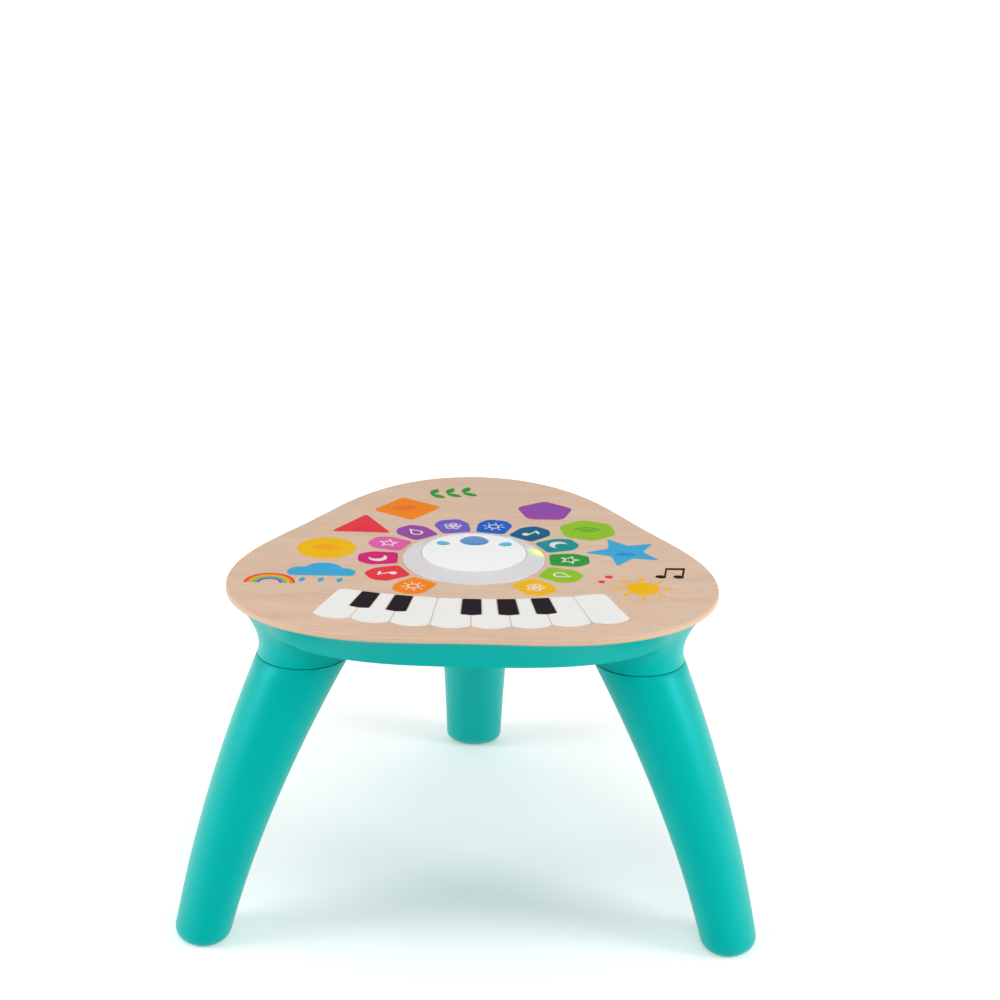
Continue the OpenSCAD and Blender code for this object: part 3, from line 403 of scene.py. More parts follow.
@dataclass(frozen=True)
class ScreenInk:
    """Screen-printed ink on lacquered wood: flat opaque colour with the veneer's grain faintly through it."""

    name: str
    colour: str
    grain: float = 0.10
    roughness: float = 0.45

    def material(self) -> bpy.types.Material:
        """Builds the material."""
        material, tree, shader = blank_material(self.name)
        colour = hex_to_linear(self.colour)
        streaks = add_noise(tree, 2.2, {"Detail": 4.0, "Roughness": 0.6}, stretch=(0.06, 1.0, 1.0))
        body = add_ramp(tree, streaks, [(0.35, scaled(colour, 1 - self.grain)), (0.55, colour)])
        tree.links.new(body, shader.inputs["Base Color"])
        add_bump(tree, shader, streaks, 0.04, 0.1)
        shader.inputs["Roughness"].default_value = self.roughness
        shader.inputs["IOR"].default_value = 1.5
        shader.inputs["Specular IOR Level"].default_value = 0.02
        return material


@dataclass(frozen=True)
class LampSpot:
    """One painted lamp glow on the milky ring: its place in metres, its colour and its reach."""

    place: tuple[float, float, float]
    colour: str
    reach: float


@dataclass(frozen=True)
class MilkyPolycarbonate:
    """Diffusing polycarbonate light guide: grey-white and softly translucent, with painted lamp glow in spots
    where lamps behind it shine through.
    """

    name: str = "Milky polycarbonate"
    colour: str = "D9D6D9"
    spots: tuple[LampSpot, ...] = ()

    def material(self) -> bpy.types.Material:
        """Builds the material."""
        material, tree, shader = blank_material(self.name)
        colour = hex_to_linear(self.colour)
        cloud = add_noise(tree, 25, {"Detail": 2.0})
        body = add_ramp(tree, cloud, [(0.3, scaled(colour, 0.97)), (0.7, colour)])
        shader.inputs["Roughness"].default_value = 0.3
        shader.inputs["IOR"].default_value = 1.58
        shader.inputs["Subsurface Weight"].default_value = 0.35
        shader.inputs["Subsurface Radius"].default_value = (3 * MM, 3 * MM, 3.3 * MM)
        shader.inputs["Subsurface Scale"].default_value = 1.0
        black, white = (0, 0, 0, 1), (1, 1, 1, 1)
        glow: Socket | None = None
        for spot in self.spots:
            # A round gradient about the lamp gives the painted lamp glow: a pale heart inside the coloured
            # halo.
            scale = 1 / spot.reach
            shift = tuple(-c * scale for c in spot.place)
            place = object_place(tree, scale=(scale, scale, scale), shift=shift)
            round_fall = {"gradient_type": "QUADRATIC_SPHERE"}
            fall = add_node(tree, "ShaderNodeTexGradient", round_fall, links={"Vector": place})
            light = hex_to_linear(spot.colour)
            halo_stops = [(0.0, black), (0.2, scaled(light, 0.3)), (0.5, light), (0.85, white)]
            halo = add_ramp(tree, fall.outputs["Fac"], halo_stops)
            # Painted lamp light: round the lamp, the plastic's own colour is tinted towards the lamp's
            # colour.
            painted_glow_tint = add_ramp(tree, fall.outputs["Fac"], [(0.02, black), (0.35, white)])
            body = add_mix(tree, "MIX", painted_glow_tint, body, scaled(light, 0.7))
            glow = halo if glow is None else add_mix(tree, "ADD", 1.0, glow, halo)
        tree.links.new(body, shader.inputs["Base Color"])
        # The painted glow is emitted by the ring itself, which is no lamp.
        if glow is not None:
            tree.links.new(glow, shader.inputs["Emission Color"])
            shader.inputs["Emission Strength"].default_value = 1.0
        return material


@dataclass(frozen=True)
class PlatedSteel:
    """Zinc-plated or nickel-plated steel: grey metal with fine turning marks."""

    name: str
    colour: str = "B9BAB8"
    roughness: float = 0.32

    def material(self) -> bpy.types.Material:
        """Builds the material."""
        material, tree, shader = blank_material(self.name)
        # Turning marks are 0.1 mm apart and are drawn at 0.5 mm so that they show.
        marks = add_noise(tree, 0.5, {"Detail": 3.0}, stretch=(1.0, 1.0, 0.2))
        rough = add_range(tree, marks, self.roughness - 0.06, self.roughness + 0.1)
        tree.links.new(rough, shader.inputs["Roughness"])
        shader.inputs["Base Color"].default_value = hex_to_linear(self.colour)
        shader.inputs["Metallic"].default_value = 1.0
        return material


@dataclass(frozen=True)
class FlatSheet:
    """Film, foil, fibreglass board, rubber or paper: a thin even material with a speckle of its own size."""

    name: str
    colour: str
    speck: str
    speck_mm: float = 1.5
    roughness: float = 0.5

    def material(self) -> bpy.types.Material:
        """Builds the material."""
        material, tree, shader = blank_material(self.name)
        speckle = add_noise(tree, self.speck_mm, {"Detail": 3.0, "Roughness": 0.7})
        stops = [(0.42, hex_to_linear(self.speck)), (0.58, hex_to_linear(self.colour))]
        tree.links.new(add_ramp(tree, speckle, stops), shader.inputs["Base Color"])
        add_bump(tree, shader, speckle, 0.1, 0.1)
        shader.inputs["Roughness"].default_value = self.roughness
        return material


class Palette:
    """Every finish of the table, each built once."""

    def __init__(self) -> None:
        """Sets out the finishes and builds nothing yet."""
        # Painted glow spots on the milky ring, where two lamps behind it would shine through.
        lamps = (
            LampSpot((37 * MM, 50 * MM + AXIS_Y, 364 * MM), "10D8FF", 15 * MM),
            LampSpot((67 * MM, 15 * MM + AXIS_Y, 362.5 * MM), "C8F000", 17 * MM),
        )
        self._finishes: dict[str, Any] = {
            "teal": MouldedPlastic(
                "Teal ABS, satin", "00B3A9", roughness=0.36, shine=0.45, sheen_tint="38D8FF"
            ),
            "white": MouldedPlastic(
                "White ABS, semi-gloss", "F7F7F7", roughness=0.22, texture_depth=0.0, mottle=0.01
            ),
            "nylon": MouldedPlastic("Natural nylon", "E6E4DC", roughness=0.5),
            "blue": MouldedPlastic(
                "Blue tinted ABS", "2F7FC4", roughness=0.2, texture_depth=0.0, subsurface=0.1
            ),
            "light_blue": MouldedPlastic(
                "Light blue tinted ABS", "3FB4D6", roughness=0.2, texture_depth=0.0, subsurface=0.1
            ),
            "black": MouldedPlastic("Black ABS", "222225", roughness=0.45),
            "milky": MilkyPolycarbonate(spots=lamps),
            "plywood": BasswoodPlywood(),
            "steel": PlatedSteel("Zinc-plated steel"),
            "nickel": PlatedSteel("Nickel-plated spring steel", "C6C2B8", 0.28),
            "board": FlatSheet("Green fibreglass board", "1B6B3A", "14552D", 4.0, 0.4),
            "film": FlatSheet("Polyester touch film", "E6DCB8", "DDD1A8", 6.0, 0.35),
            "carbon": FlatSheet("Carbon ink", "232326", "1A1A1C", 1.0, 0.6),
            "copper": FlatSheet("Copper on amber polyimide", "C98B3C", "A86A24", 2.0, 0.3),
            "jacket": FlatSheet("Red wire insulation", "B8231F", "A01C1A", 3.0, 0.4),
            "rubber": FlatSheet("Moulded grey rubber", "37383A", "2B2C2E", 1.2, 0.75),
            "paper": FlatSheet("Black pulp paper", "29292B", "1C1C1E", 0.9, 0.85),
            "cell": FlatSheet("Printed cell jacket", "2E3238", "282B30", 8.0, 0.25),
        }
        self._made: dict[str, bpy.types.Material] = {}

    def add(self, key: str, finish: Any) -> None:
        """Adds a finish under a key."""
        self._finishes[key] = finish

    def get(self, key: str) -> bpy.types.Material:
        """Gives a finish's material, and builds it at first use."""
        if key not in self._made:
            self._made[key] = self._finishes[key].material()
        return self._made[key]


# ------------------------------------------------------------------ mesh helpers


def ring_loft(
    bm: bmesh.types.BMesh, count: int, places: Sequence[Place], closed: bool = False
) -> None:
    """Draws a ring and extrudes it through a row of places, one ring of edges at a time.

    Args:
        bm: Mesh to build in.
        count: Vertices in each ring.
        places: For each ring, a function from an angle in radians to a point.
        closed: Whether the last ring is bridged back to the first.
    """
    first = bmesh.ops.create_circle(bm, cap_ends=False, radius=1.0, segments=count)["verts"]
    angles = {v: math.atan2(v.co.y, v.co.x) for v in first}
    edges = list({e for v in first for e in v.link_edges})
    first_edges = edges
    for v, angle in angles.items():
        v.co = places[0](angle)
    for place in places[1:]:
        lookup = {tuple(round(c, 7) for c in v.co): angle for v, angle in angles.items()}
        made = bmesh.ops.extrude_edge_only(bm, edges=edges)["geom"]
        verts = [g for g in made if isinstance(g, bmesh.types.BMVert)]
        edges = ring_edges(made, verts)
        angles = {v: lookup[tuple(round(c, 7) for c in v.co)] for v in verts}
        for v, angle in angles.items():
            v.co = place(angle)
    if closed:
        bmesh.ops.bridge_loops(bm, edges=list(edges) + list(first_edges))


def ring_edges(made: Iterable[Any], verts: Iterable[bmesh.types.BMVert]) -> list[bmesh.types.BMEdge]:
    """Picks the edges of an extrusion that join two of its new vertices."""
    chosen = set(verts)
    edges = [g for g in made if isinstance(g, bmesh.types.BMEdge)]
    return [e for e in edges if e.verts[0] in chosen and e.verts[1] in chosen]


def cap_open_loops(bm: bmesh.types.BMesh) -> None:
    """Closes every open ring of edges with one face."""
    bmesh.ops.holes_fill(bm, edges=[e for e in bm.edges if e.is_boundary], sides=0)


def spin_profile(
    bm: bmesh.types.BMesh, profile: Sequence[tuple[float, float]], centre: tuple[float, float], steps: int
) -> None:
    """Turns a profile all the way round an upright axis.

    Args:
        bm: Mesh to build in.
        profile: Radius and height of each corner, in metres. A closed section repeats its first corner.
        centre: X and Y of the axis, in metres.
        steps: Facets round the axis.
    """
    ring = profile[0] == profile[-1]
    corners = profile[:-1] if ring else profile
    verts = [bm.verts.new((centre[0] + r, centre[1], z)) for r, z in corners]
    edges = [bm.edges.new(pair) for pair in zip(verts, verts[1:])]
    if ring:
        edges.append(bm.edges.new((verts[-1], verts[0])))
    bmesh.ops.spin(
        bm,
        geom=verts + edges,
        cent=(*centre, 0.0),
        axis=(0, 0, 1),
        angle=2 * math.pi,
        steps=steps,
        use_merge=True,
    )


def tidy(bm: bmesh.types.BMesh) -> None:
    """Merges doubled vertices and turns every face outwards."""
    bmesh.ops.remove_doubles(bm, verts=bm.verts, dist=1e-6)
    bmesh.ops.dissolve_degenerate(bm, dist=1e-7, edges=bm.edges)
    bmesh.ops.recalc_face_normals(bm, faces=bm.faces)


def make_piece(
    bm: bmesh.types.BMesh, name: str, material: bpy.types.Material, body: str, sharp: float
) -> bpy.types.Object:
    """Turns a finished mesh into an object that rides on a body.

    Args:
        bm: The mesh, which is freed.
        name: Name of the piece.
        material: Its finish.
        body: CAD body that it rides on.
        sharp: Edges that turn more than this stay crisp, in degrees.

    Returns:
        The new object.
    """
    limit = math.radians(sharp)
    for face in bm.faces:
        face.smooth = True
    for edge in bm.edges:
        edge.smooth = len(edge.link_faces) != 2 or edge.calc_face_angle(0.0) < limit
    mesh = bpy.data.meshes.new(name)
    bm.to_mesh(mesh)
    bm.free()
    mesh.materials.append(material)
    obj = bpy.data.objects.new(name, mesh)
    bpy.context.scene.collection.objects.link(obj)
    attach(obj, body)
    LOG.info("%s: %d faces, rides on %s", name, len(mesh.polygons), body)
    return obj


def top_outline(angle: float, inset: float, corner_inset: float | None = None) -> tuple[float, float]:
    """Gives a point of the top's three-lobed outline.

    Args:
        angle: Direction from the table's axis, in radians.
        inset: How far in at the middle of a side, in metres.
        corner_inset: How far in at a corner, or None for the same.

    Returns:
        X and Y in metres.
    """
    lobe = math.cos(3 * (angle - math.pi / 2))
    radius = OUTLINE_RADIUS * (1 + LOBE_DEPTH * lobe)
    share = (1 + lobe) / 2
    end = inset if corner_inset is None else corner_inset
    radius -= inset + (end - inset) * share
    return radius * math.cos(angle), radius * math.sin(angle) + AXIS_Y


# ------------------------------------------------------------------ sub-assemblies


@dataclass
class WoodenTop:
    """The plywood playing surface with its rounded edge and the round opening for the dome."""

    palette: Palette
    edge_radius: float = 2.3 * MM
    lower_edge: float = 0.7 * MM
    opening_radius: float = 66.0 * MM
    segments: int = 360

    def _ring(self, inset: float, z: float) -> Place:
        """Gives the outline at an inset and a height."""
        return lambda angle: Vector((*top_outline(angle, inset), z))

    def _bore(self, z: float) -> Place:
        """Gives the dome's opening at a height."""
        return lambda angle: Vector(
            (self.opening_radius * math.cos(angle), self.opening_radius * math.sin(angle) + AXIS_Y, z)
        )

    def build(self) -> None:
        """Builds the top and puts it in place of its plain solid."""
        bm = bmesh.new()
        steps = 6
        turn = [math.pi / 2 * k / steps for k in range(steps + 1)]
        rings = [self._ring(self.lower_edge, WOOD_BOTTOM_Z), self._ring(0, WOOD_BOTTOM_Z + self.lower_edge)]
        for a in turn:
            inset = self.edge_radius * (1 - math.cos(a))
            rings.append(self._ring(inset, TOP_Z - self.edge_radius * (1 - math.sin(a))))
        rings += [self._bore(TOP_Z), self._bore(WOOD_BOTTOM_Z)]
        ring_loft(bm, self.segments, rings, closed=True)
        tidy(bm)
        top = make_piece(bm, "plywood_top", self.palette.get("plywood"), TABLE, sharp=30)
        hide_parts("wood_top")


@dataclass
class PrintedInk:
    """The screen-printed areas: one ink to a node, flat on the plywood."""

    palette: Palette
    colours: dict[str, str] = field(
        default_factory=lambda: {
            "ink_white": "F4F4F1", "ink_black": "130A15", "ink_orange": "F98A1A", "ink_red": "EC3A45",
            "ink_magenta": "DB2378", "ink_pink": "E465B0", "ink_purple": "9B4BA8", "ink_violet": "7561C4",
            "ink_blue": "1764CC", "ink_petrol": "0B6188", "ink_teal": "179499", "ink_green": "2F9A38",
            "ink_lime": "93C72C", "ink_yellow": "F8BE10", "ink_sky": "3FADDD", "ink_marks": "EFE6E2",
        }
    )

    def build(self) -> None:
        """Gives each printed node its ink."""
        for node, colour in self.colours.items():
            name = f"Screen ink, {node.removeprefix('ink_')}"
            grain = 0.03 if node in ("ink_white", "ink_black", "ink_marks") else 0.08
            self.palette.add(node, ScreenInk(name, colour, grain))
            dress(node, self.palette.get(node))


def dress(node: str, material: bpy.types.Material) -> None:
    """Gives a carried-over node one material."""
    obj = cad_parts[node]
    obj.data.materials.clear()
    obj.data.materials.append(material)


@dataclass
class ApronHousing:
    """The moulded apron: a coved band that flows into three flared leg stubs."""

    palette: Palette
    wall: float = 3.0 * MM
    voxel: float = 2.0 * MM
    band_height: float = 29 * MM
    band_inset: float = 3.0
    side_cove: float = 9.0
    corner_cove: float = 25.0
    cove_power: float = 0.7
    band_segments: int = 240
    stub_radius: float = 47.3 * MM
    stub_segments: int = 96
    flare_terms: tuple[float, float, float] = (-19.9, 60.1, -20.6)
    over: float = 4 * MM
    under: float = 6 * MM
    rim: float = 0.35 * MM
    web_radius: float = 60.0 * MM
    web_drop: float = 0.3 * MM
    # Each filling smooths within a reach of the crease, a margin in from its ends, for some rounds.
    fillings: tuple[tuple[int, int, int], ...] = (
        (34, 0, 10), (28, 1, 30), (22, 2, 60), (16, 3, 80), (11, 4, 60),
    )

    def _band(self, z: float) -> Place:
        """Gives the coved band's outline at a height."""
        drop = max(0.0, (WOOD_BOTTOM_Z - z) / self.band_height)
        curve = drop**self.cove_power
        side = (self.band_inset + self.side_cove * curve) * MM
        corner = (self.band_inset + self.corner_cove * curve) * MM
        return lambda angle: Vector((*top_outline(angle, side, corner), z))

    def flare(self, z: float) -> float:
        """Gives a stub's radius at a height."""
        s = max((z - PARTING_Z) / (WOOD_BOTTOM_Z - PARTING_Z), 0.0)
        first, second, third = self.flare_terms
        return self.stub_radius + (first * s + second * s**2 + third * s**3) * MM

    def _stub_centre(self, side: LegSide) -> tuple[float, float]:
        """Gives the middle of a stub."""
        angle = math.radians(side.value)
        return STUB_CIRCLE * math.cos(angle), STUB_CIRCLE * math.sin(angle) + AXIS_Y

    def _rough_solid(self) -> bmesh.types.BMesh:
        """Builds the band and the stubs as closed solids that run through each other."""
        bm = bmesh.new()
        levels = [BAND_BOTTOM_Z + (WOOD_BOTTOM_Z - BAND_BOTTOM_Z) * k / 10 for k in range(11)]
        ring_loft(bm, self.band_segments, [self._band(z) for z in levels] + [self._raised()])
        cap_open_loops(bm)
        for side in LegSide:
            heights = [PARTING_Z + (WOOD_BOTTOM_Z - PARTING_Z) * k / 24 for k in range(25)]
            profile = [(0.0, PARTING_Z - self.under), (self.stub_radius, PARTING_Z - self.under)]
            profile += [(self.flare(z), z) for z in heights]
            top = WOOD_BOTTOM_Z + self.over
            profile += [(self.flare(WOOD_BOTTOM_Z), top), (0.0, top)]
            spin_profile(bm, profile, self._stub_centre(side), self.stub_segments)
        tidy(bm)
        return bm

    def _raised(self) -> Place:
        """Gives the band's outline carried up inside the plywood."""
        inset = self.band_inset * MM
        return lambda angle: Vector((*top_outline(angle, inset, inset), WOOD_BOTTOM_Z + self.over))

    def _fuse(self, bm: bmesh.types.BMesh) -> bmesh.types.BMesh:
        """Fuses overlapping solids into one skin of even small faces."""
        mesh = bpy.data.meshes.new("apron_rough")
        bm.to_mesh(mesh)
        bm.free()
        rough = bpy.data.objects.new("apron_rough", mesh)
        bpy.context.scene.collection.objects.link(rough)
        remesh = rough.modifiers.new("fuse", "REMESH")
        remesh.mode, remesh.voxel_size, remesh.adaptivity = "VOXEL", self.voxel, 0.0
        graph = bpy.context.evaluated_depsgraph_get()
        fused = bpy.data.meshes.new_from_object(rough.evaluated_get(graph))
        bpy.data.objects.remove(rough)
        out = bmesh.new()
        out.from_mesh(fused)
        bpy.data.meshes.remove(fused)
        bpy.data.meshes.remove(mesh)
        return out

    def _stub_distance(self, point: Vector) -> float:
        """Gives how far a point is outside the nearest stub's flared wall, negative inside it."""
        return min(
            math.hypot(point.x - cx, point.y - cy) - self.flare(point.z)
            for cx, cy in map(self._stub_centre, LegSide)
        )

    def _blend_creases(self, bm: bmesh.types.BMesh) -> None:
        """Fills the creases where the band meets the stubs, and never draws the skin in."""
        low, high = PARTING_Z + 5 * MM, WOOD_BOTTOM_Z - 4 * MM
        bm.normal_update()
        near = [(abs(self._stub_distance(v.co)), v) for v in bm.verts if low < v.co.z < high]
        start = {v: (v.co.copy(), v.normal.copy()) for _, v in near}
        for reach, margin, rounds in self.fillings:
            verts = [
                v for d, v in near if d < reach * MM and low + margin * MM < v.co.z < high - margin * MM
            ]
            for _ in range(rounds):
                self._relax(bm, verts)
                for v in verts:
                    place, outward = start[v]
                    sunk = (v.co - place).dot(outward)
                    if sunk < 0:
                        v.co -= outward * sunk
        # Three last rounds over all the sides, but not at the rims and the band's lower edge.
        low, high = PARTING_Z + 3 * MM, WOOD_BOTTOM_Z - 1 * MM
        sides = [v for v in bm.verts if low < v.co.z < high and abs(v.co.z - BAND_BOTTOM_Z) > 3 * MM]
        for _ in range(3):
            self._relax(bm, sides)

    @staticmethod
    def _relax(bm: bmesh.types.BMesh, verts: list[bmesh.types.BMVert]) -> None:
        """Moves each vertex halfway to the middle of its neighbours."""
        bmesh.ops.smooth_vert(
            bm, verts=verts, factor=0.5, use_axis_x=True, use_axis_y=True, use_axis_z=True
        )

    def _trim(self, bm: bmesh.types.BMesh) -> None:
        """Cuts the skin at the plywood and at the joint, and opens it underneath."""
        into_wood = 0.3 * MM
        cuts = (
            (WOOD_BOTTOM_Z + into_wood, (0, 0, 1), True),
            (PARTING_Z, (0, 0, -1), True),
            (PARTING_Z + self.rim, (0, 0, 1), False),
        )
        for height, normal, clear in cuts:
            everything = bm.verts[:] + bm.edges[:] + bm.faces[:]
            bmesh.ops.bisect_plane(
                bm, geom=everything, plane_co=(0, 0, height), plane_no=normal, clear_outer=clear
            )
        bm.normal_update()
        low = PARTING_Z + 20 * MM
        flat = []
        for face in bm.faces:
            middle = face.calc_center_median()
            if face.normal.z < -0.9 and middle.z > low and self._from_stub(middle)[2] > self.web_radius:
                flat.append(face)
        bmesh.ops.delete(bm, geom=flat, context="FACES")
        lower_edge = self._band(BAND_BOTTOM_Z)
        for v in bm.verts:
            cx, cy, away = self._from_stub(v.co)
            if v.co.z < PARTING_Z + 0.01 * MM:
                target = away - self.rim
            elif not v.is_boundary or not low < v.co.z < BAND_BOTTOM_Z + 3 * MM:
                continue
            elif abs(away - self.web_radius) < 2.5 * MM:
                target = self.web_radius
                v.co.z = BAND_BOTTOM_Z - self.web_drop
            else:
                v.co = lower_edge(math.atan2(v.co.y - AXIS_Y, v.co.x))
                continue
            v.co.x, v.co.y = cx + (v.co.x - cx) * target / away, cy + (v.co.y - cy) * target / away

    def _from_stub(self, point: Vector) -> tuple[float, float, float]:
        """Gives the middle of the nearest stub, and a point's distance from it."""
        centres = map(self._stub_centre, LegSide)
        found = ((cx, cy, math.hypot(point.x - cx, point.y - cy)) for cx, cy in centres)
        return min(found, key=lambda c: c[2])

    def build(self) -> None:
        """Builds the apron and puts it in place of its plain solid."""
        bm = self._fuse(self._rough_solid())
        self._blend_creases(bm)
        self._trim(bm)
        bmesh.ops.recalc_face_normals(bm, faces=bm.faces)
        bmesh.ops.solidify(bm, geom=bm.faces[:], thickness=self.wall)
        apron = make_piece(bm, "apron_shell", self.palette.get("teal"), TABLE, sharp=50)
        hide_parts("top_housing")


@dataclass
class BowedLeg:
    """One hollow bowed leg that swells towards its round top and ends in a rounded foot."""

    palette: Palette
    side: LegSide
    node: str
    rise: float = 0.6 * MM
    rounding: float = 12.0 * MM
    groove: float = 1.0 * MM
    groove_depth: float = 2.4 * MM
    lip: float = 0.3 * MM
    mouth: float = 43.2 * MM
    mouth_shift: float = 1.2 * MM
    mouth_depth: float = 5 * MM
    foot_reach: float = 314
    lean: float = 74
    bow: float = 45.5
    foot_radial: float = 27.7
    foot_across: float = 33.1
    radial_swell: float = 19.6
    across_swell: float = 14.2
    swell_power: float = 1.3
    segments: int = 96

    def _section(self, z: float, inset: float) -> Place:
        """Gives the leg's oval section at a height, drawn in by an inset."""
        s = z / PARTING_Z
        reach = (self.foot_reach - self.lean * s - self.bow * s**2) * MM
        grown = max(s, 0.0) ** self.swell_power
        radial = (self.foot_radial + self.radial_swell * grown) * MM - inset
        across = (self.foot_across + self.across_swell * grown) * MM - inset
        return self._turned(lambda a: Vector((reach + radial * math.cos(a), across * math.sin(a), z)))

    def _turned(self, place: Place) -> Place:
        """Turns a place from the leg's own direction into the table's frame."""
        turn = Matrix.Rotation(math.radians(self.side.value), 3, "Z")
        return lambda a: turn @ place(a) + Vector((0, AXIS_Y, 0))

    def _mouth_ring(self, z: float) -> Place:
        """Gives the round mouth that holds the plug."""
        centre = STUB_CIRCLE + self.mouth_shift
        return self._turned(
            lambda a: Vector((centre + self.mouth * math.cos(a), self.mouth * math.sin(a), z))
        )

    def build(self) -> None:
        """Builds the leg and puts it in place of its plain solid."""
        bm = bmesh.new()
        rings: list[Place] = []
        for k in range(9):
            turn = math.pi / 2 * k / 8
            drop = self.rounding * (1 - math.sin(turn))
            rings.append(self._section(self.rise + drop, self.rounding * (1 - math.cos(turn))))
        rings = rings[::-1]
        low = self.rise + self.rounding
        shoulder = PARTING_Z - self.groove
        rings += [self._section(low + (shoulder - self.lip - low) * k / 30, 0.0) for k in range(1, 31)]
        rings += [self._section(shoulder, self.lip), self._section(shoulder, self.groove_depth)]
        rings += [self._section(PARTING_Z, self.groove_depth)]
        rings += [self._mouth_ring(PARTING_Z), self._mouth_ring(PARTING_Z - self.mouth_depth)]
        ring_loft(bm, self.segments, rings)
        cap_open_loops(bm)
        tidy(bm)
        leg = make_piece(bm, f"bowed_{self.node}", self.palette.get("teal"), TABLE, sharp=45)
        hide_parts(self.node)


@dataclass
class LightDome:
    """The centre dome: a sloping milky ring, a crowned white cap and three push buttons."""

    palette: Palette
    ring_radius: float = 74.0 * MM
    cap_radius: float = 54.6 * MM
    edge_z: float = 367.6 * MM
    neck: float = 65.4 * MM
    barb: float = 66.6 * MM
    bore: float = 63.4 * MM
    shelf: float = 50.0 * MM
    shelf_low: float = 354.0 * MM
    shelf_high: float = 355.6 * MM
    neck_end: float = 351.6 * MM
    segments: int = 192

    def _slope(self, inner: float) -> list[tuple[float, float]]:
        """Gives the gently hollow slope from the cap's edge to just above the plywood."""
        slope = []
        for k in range(13):
            t = k / 12
            r = inner + 0.7 * MM + (self.ring_radius - 1.6 * MM - inner - 0.7 * MM) * t
            z = self.edge_z - (self.edge_z - TOP_Z - 1.7 * MM) * t - 0.7 * MM * math.sin(math.pi * t)
            slope.append((r, z))
        return slope

    def _ring(self) -> None:
        """Builds the milky ring that slopes from the cap's edge down to the plywood."""
        inner = self.cap_radius + 0.4 * MM
        inside = inner + 1.4 * MM
        outer = self.ring_radius
        bm = bmesh.new()
        # From the cap's edge over the slope, down the neck with its barb, and back along the shelf.
        profile = [(inner, self.edge_z - 0.6 * MM), (inner + 0.25 * MM, self.edge_z - 0.15 * MM)]
        profile += self._slope(inner)
        profile += [
            (outer - 0.7 * MM, TOP_Z + 1.25 * MM), (outer - 0.15 * MM, TOP_Z + 0.7 * MM), (outer, TOP_Z),
            (self.neck, TOP_Z), (self.neck, 353.6 * MM), (self.barb, 353.4 * MM), (self.barb, 352.6 * MM),
            (self.neck, self.neck_end), (self.bore, self.neck_end), (self.bore, self.shelf_low),
            (self.shelf, self.shelf_low), (self.shelf, self.shelf_high), (self.bore, self.shelf_high),
            (self.bore, TOP_Z), (inside, self.edge_z - 2.2 * MM), (inside, TOP_Z - 1 * MM),
            (inner, TOP_Z - 1 * MM), (inner, self.edge_z - 0.6 * MM),
        ]
        spin_profile(bm, profile, (0.0, AXIS_Y), self.segments)
        tidy(bm)
        ring = make_piece(bm, "milky_ring", self.palette.get("milky"), TABLE, sharp=38)
        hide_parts("light_ring")

    def build(self) -> None:
        """Builds the ring and dresses the cap and its buttons."""
        self._ring()
        dress("dome_cap", self.palette.get("white"))
        dress("mode_button", self.palette.get("blue"))
        dress("left_button", self.palette.get("light_blue"))
        dress("right_button", self.palette.get("light_blue"))


@dataclass
class InnerWorks:
    """Everything inside and underneath that keeps its own solid and gets its finish."""

    palette: Palette
    finishes: dict[str, str] = field(
        default_factory=lambda: {
            "bottom_cover": "teal", "cover_screws": "steel", "battery_door": "teal",
            "door_screw": "steel", "battery_cells": "cell", "battery_contacts": "nickel",
            "speaker_frame": "steel", "speaker_cone": "paper", "main_board": "board",
            "board_chips": "black", "touch_film": "film", "sensor_pads": "carbon",
            "flex_cable": "copper", "wires": "jacket", "power_switch_body": "black",
            "power_switch_knob": "white", "cap_screws": "steel", "mode_plunger": "nylon",
            "left_plunger": "nylon", "right_plunger": "nylon", "switch_bodies": "black",
            "dome_board": "board", "leds": "milky", "spigot_left": "nylon", "spigot_right": "nylon",
            "spigot_back": "nylon", "foot_pad_left": "rubber", "foot_pad_right": "rubber",
            "foot_pad_back": "rubber", "leg_screws": "steel",
        }
    )

    def build(self) -> None:
        """Gives each node its finish."""
        for node, key in self.finishes.items():
            dress(node, self.palette.get(key))
        LOG.info("dressed %d inner nodes", len(self.finishes))


# ------------------------------------------------------------------ studio


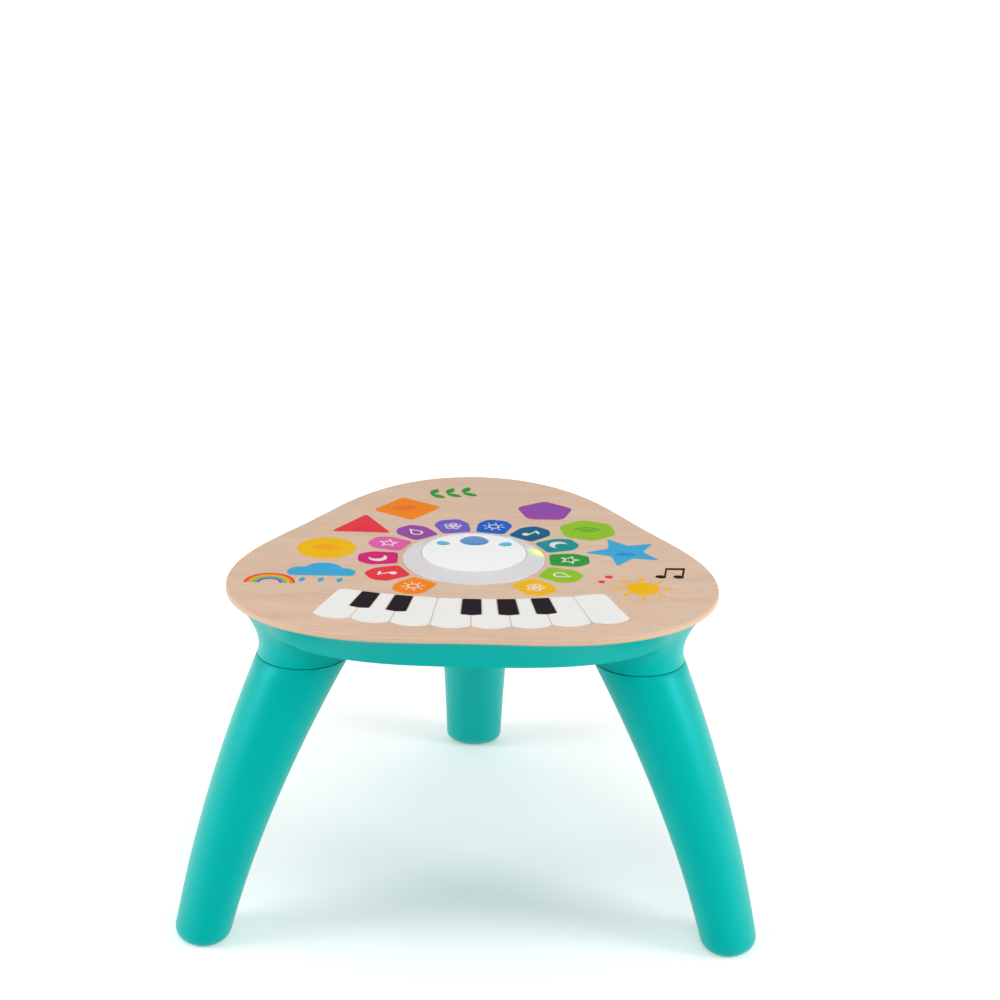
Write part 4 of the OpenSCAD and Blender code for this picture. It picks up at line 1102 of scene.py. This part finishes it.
@dataclass
class Studio:
    """A pale seamless floor, soft lamps and the camera that looks down at the table."""

    camera_place: tuple[float, float, float] = (22.871, -1995.297, 1130.272)
    pan: float = 0.0895
    tilt: float = 19.4505
    roll: float = 1.2085
    lens: float = 73.767
    pool: float = 1.0
    near_lift: float = 0.15
    far_lift: float = 0.75
    sky: float = 0.39
    lamps: dict[str, tuple[tuple[float, float, float], float, float]] = field(
        default_factory=lambda: {
            "overhead_softbox": ((0.0, 0.2, 2.6), 2.6, 13.0),
            "front_softbox": ((0.4, -2.4, 1.9), 0.9, 11.0),
            "left_softbox": ((-2.5, -0.7, 1.2), 1.2, 33.0),
            "right_softbox": ((2.5, -0.9, 1.1), 1.0, 35.0),
        }
    )

    def _camera(self) -> None:
        """Sets the camera at the photograph's place."""
        pan, tilt, roll = map(math.radians, (self.pan, self.tilt, self.roll))
        look = Vector((math.sin(pan) * math.cos(tilt), math.cos(pan) * math.cos(tilt), -math.sin(tilt)))
        right = look.cross(Vector((0, 0, 1))).normalized()
        up = right.cross(look)
        across = right * math.cos(roll) + up * math.sin(roll)
        upright = up * math.cos(roll) - right * math.sin(roll)
        data = bpy.data.cameras.new("studio_camera")
        data.lens, data.sensor_width, data.sensor_fit = self.lens, 36.0, "AUTO"
        data.clip_start, data.clip_end = 0.05, 100.0
        camera = bpy.data.objects.new("studio_camera", data)
        bpy.context.scene.collection.objects.link(camera)
        turn = Matrix((across, upright, -look)).transposed().to_4x4()
        place = Vector(self.camera_place) * MM + Vector((0, AXIS_Y, 0))
        camera.matrix_world = Matrix.Translation(place) @ turn
        bpy.context.scene.camera = camera

    def _floor(self) -> None:
        """Lays the pale floor."""
        bm = bmesh.new()
        bmesh.ops.create_grid(bm, x_segments=2, y_segments=2, size=30.0)
        mesh = bpy.data.meshes.new("studio_floor")
        bm.to_mesh(mesh)
        bm.free()
        floor = bpy.data.objects.new("studio_floor", mesh)
        bpy.context.scene.collection.objects.link(floor)
        material, tree, shader = blank_material("Matt white paper")
        shader.inputs["Base Color"].default_value = hex_to_linear("F6F7F7")
        shader.inputs["Roughness"].default_value = 0.9
        shader.inputs["Specular IOR Level"].default_value = 0.2
        # The photograph's backdrop burns out to white away from the table, and lights nothing.
        away = add_node(
            tree,
            "ShaderNodeTexGradient",
            {"gradient_type": "SPHERICAL"},
            links={"Vector": object_place(tree, scale=(1 / self.pool, 1 / self.pool, 1 / self.pool))},
        )
        amount = add_node(
            tree,
            "ShaderNodeMapRange",
            {"interpolation_type": "SMOOTHSTEP"},
            values={"From Min": 0.0, "From Max": 1.0, "To Min": self.far_lift, "To Max": self.near_lift},
            links={"Value": away.outputs["Fac"]},
        )
        seen = add_node(
            tree,
            "ShaderNodeMath",
            {"operation": "MULTIPLY"},
            links={0: direct_ray(tree), 1: amount.outputs["Result"]},
        )
        lift = add_node(
            tree, "ShaderNodeEmission", values={"Color": (1, 1, 1, 1)}, links={"Strength": seen.outputs[0]}
        )
        total = add_node(
            tree, "ShaderNodeAddShader", links={0: shader.outputs["BSDF"], 1: lift.outputs["Emission"]}
        )
        # Seen from underneath, the floor lets the view through to the table's underside.
        facing = add_node(tree, "ShaderNodeNewGeometry")
        clear = add_node(tree, "ShaderNodeBsdfTransparent")
        one_way = add_node(
            tree,
            "ShaderNodeMixShader",
            links={0: facing.outputs["Backfacing"], 1: total.outputs[0], 2: clear.outputs["BSDF"]},
        )
        output = next(n for n in tree.nodes if n.type == "OUTPUT_MATERIAL")
        tree.links.new(one_way.outputs[0], output.inputs["Surface"])
        mesh.materials.append(material)

    def _world(self) -> None:
        """Sets an even sky, which the camera and reflections see as plain white."""
        world = bpy.data.worlds.new("studio_sky")
        world.use_nodes = True
        tree = world.node_tree
        tree.nodes.clear()
        strength = add_node(
            tree,
            "ShaderNodeMapRange",
            values={"To Min": self.sky, "To Max": 1.0},
            links={"Value": direct_ray(tree)},
        )
        sky = add_node(
            tree,
            "ShaderNodeBackground",
            values={"Color": (1, 1, 1, 1)},
            links={"Strength": strength.outputs["Result"]},
        )
        add_node(tree, "ShaderNodeOutputWorld", links={"Surface": sky.outputs["Background"]})
        bpy.context.scene.world = world

    def _lamps(self) -> None:
        """Hangs the soft lamps and turns each one to the table."""
        for name, (place, size, power) in self.lamps.items():
            data = bpy.data.lights.new(name, "AREA")
            data.shape, data.size, data.energy = "SQUARE", size, power
            lamp = bpy.data.objects.new(name, data)
            bpy.context.scene.collection.objects.link(lamp)
            aim = Vector((0, 0, 0.25)) - Vector(place)
            lamp.matrix_world = Matrix.Translation(place) @ aim.to_track_quat("-Z", "Y").to_matrix().to_4x4()

    def build(self) -> None:
        """Builds the whole studio."""
        bpy.context.scene.view_settings.view_transform = "Standard"
        self._camera()
        self._floor()
        self._world()
        self._lamps()


def main() -> None:
    """Builds the studio and then each sub-assembly."""
    logging.basicConfig(level=logging.INFO, format="%(message)s")
    palette = Palette()
    Studio().build()
    WoodenTop(palette).build()
    PrintedInk(palette).build()
    ApronHousing(palette).build()
    for side, node in zip(LegSide, ("leg_left", "leg_right", "leg_back")):
        BowedLeg(palette, side, node).build()
    LightDome(palette).build()
    InnerWorks(palette).build()


if __name__ == "__main__":
    main()
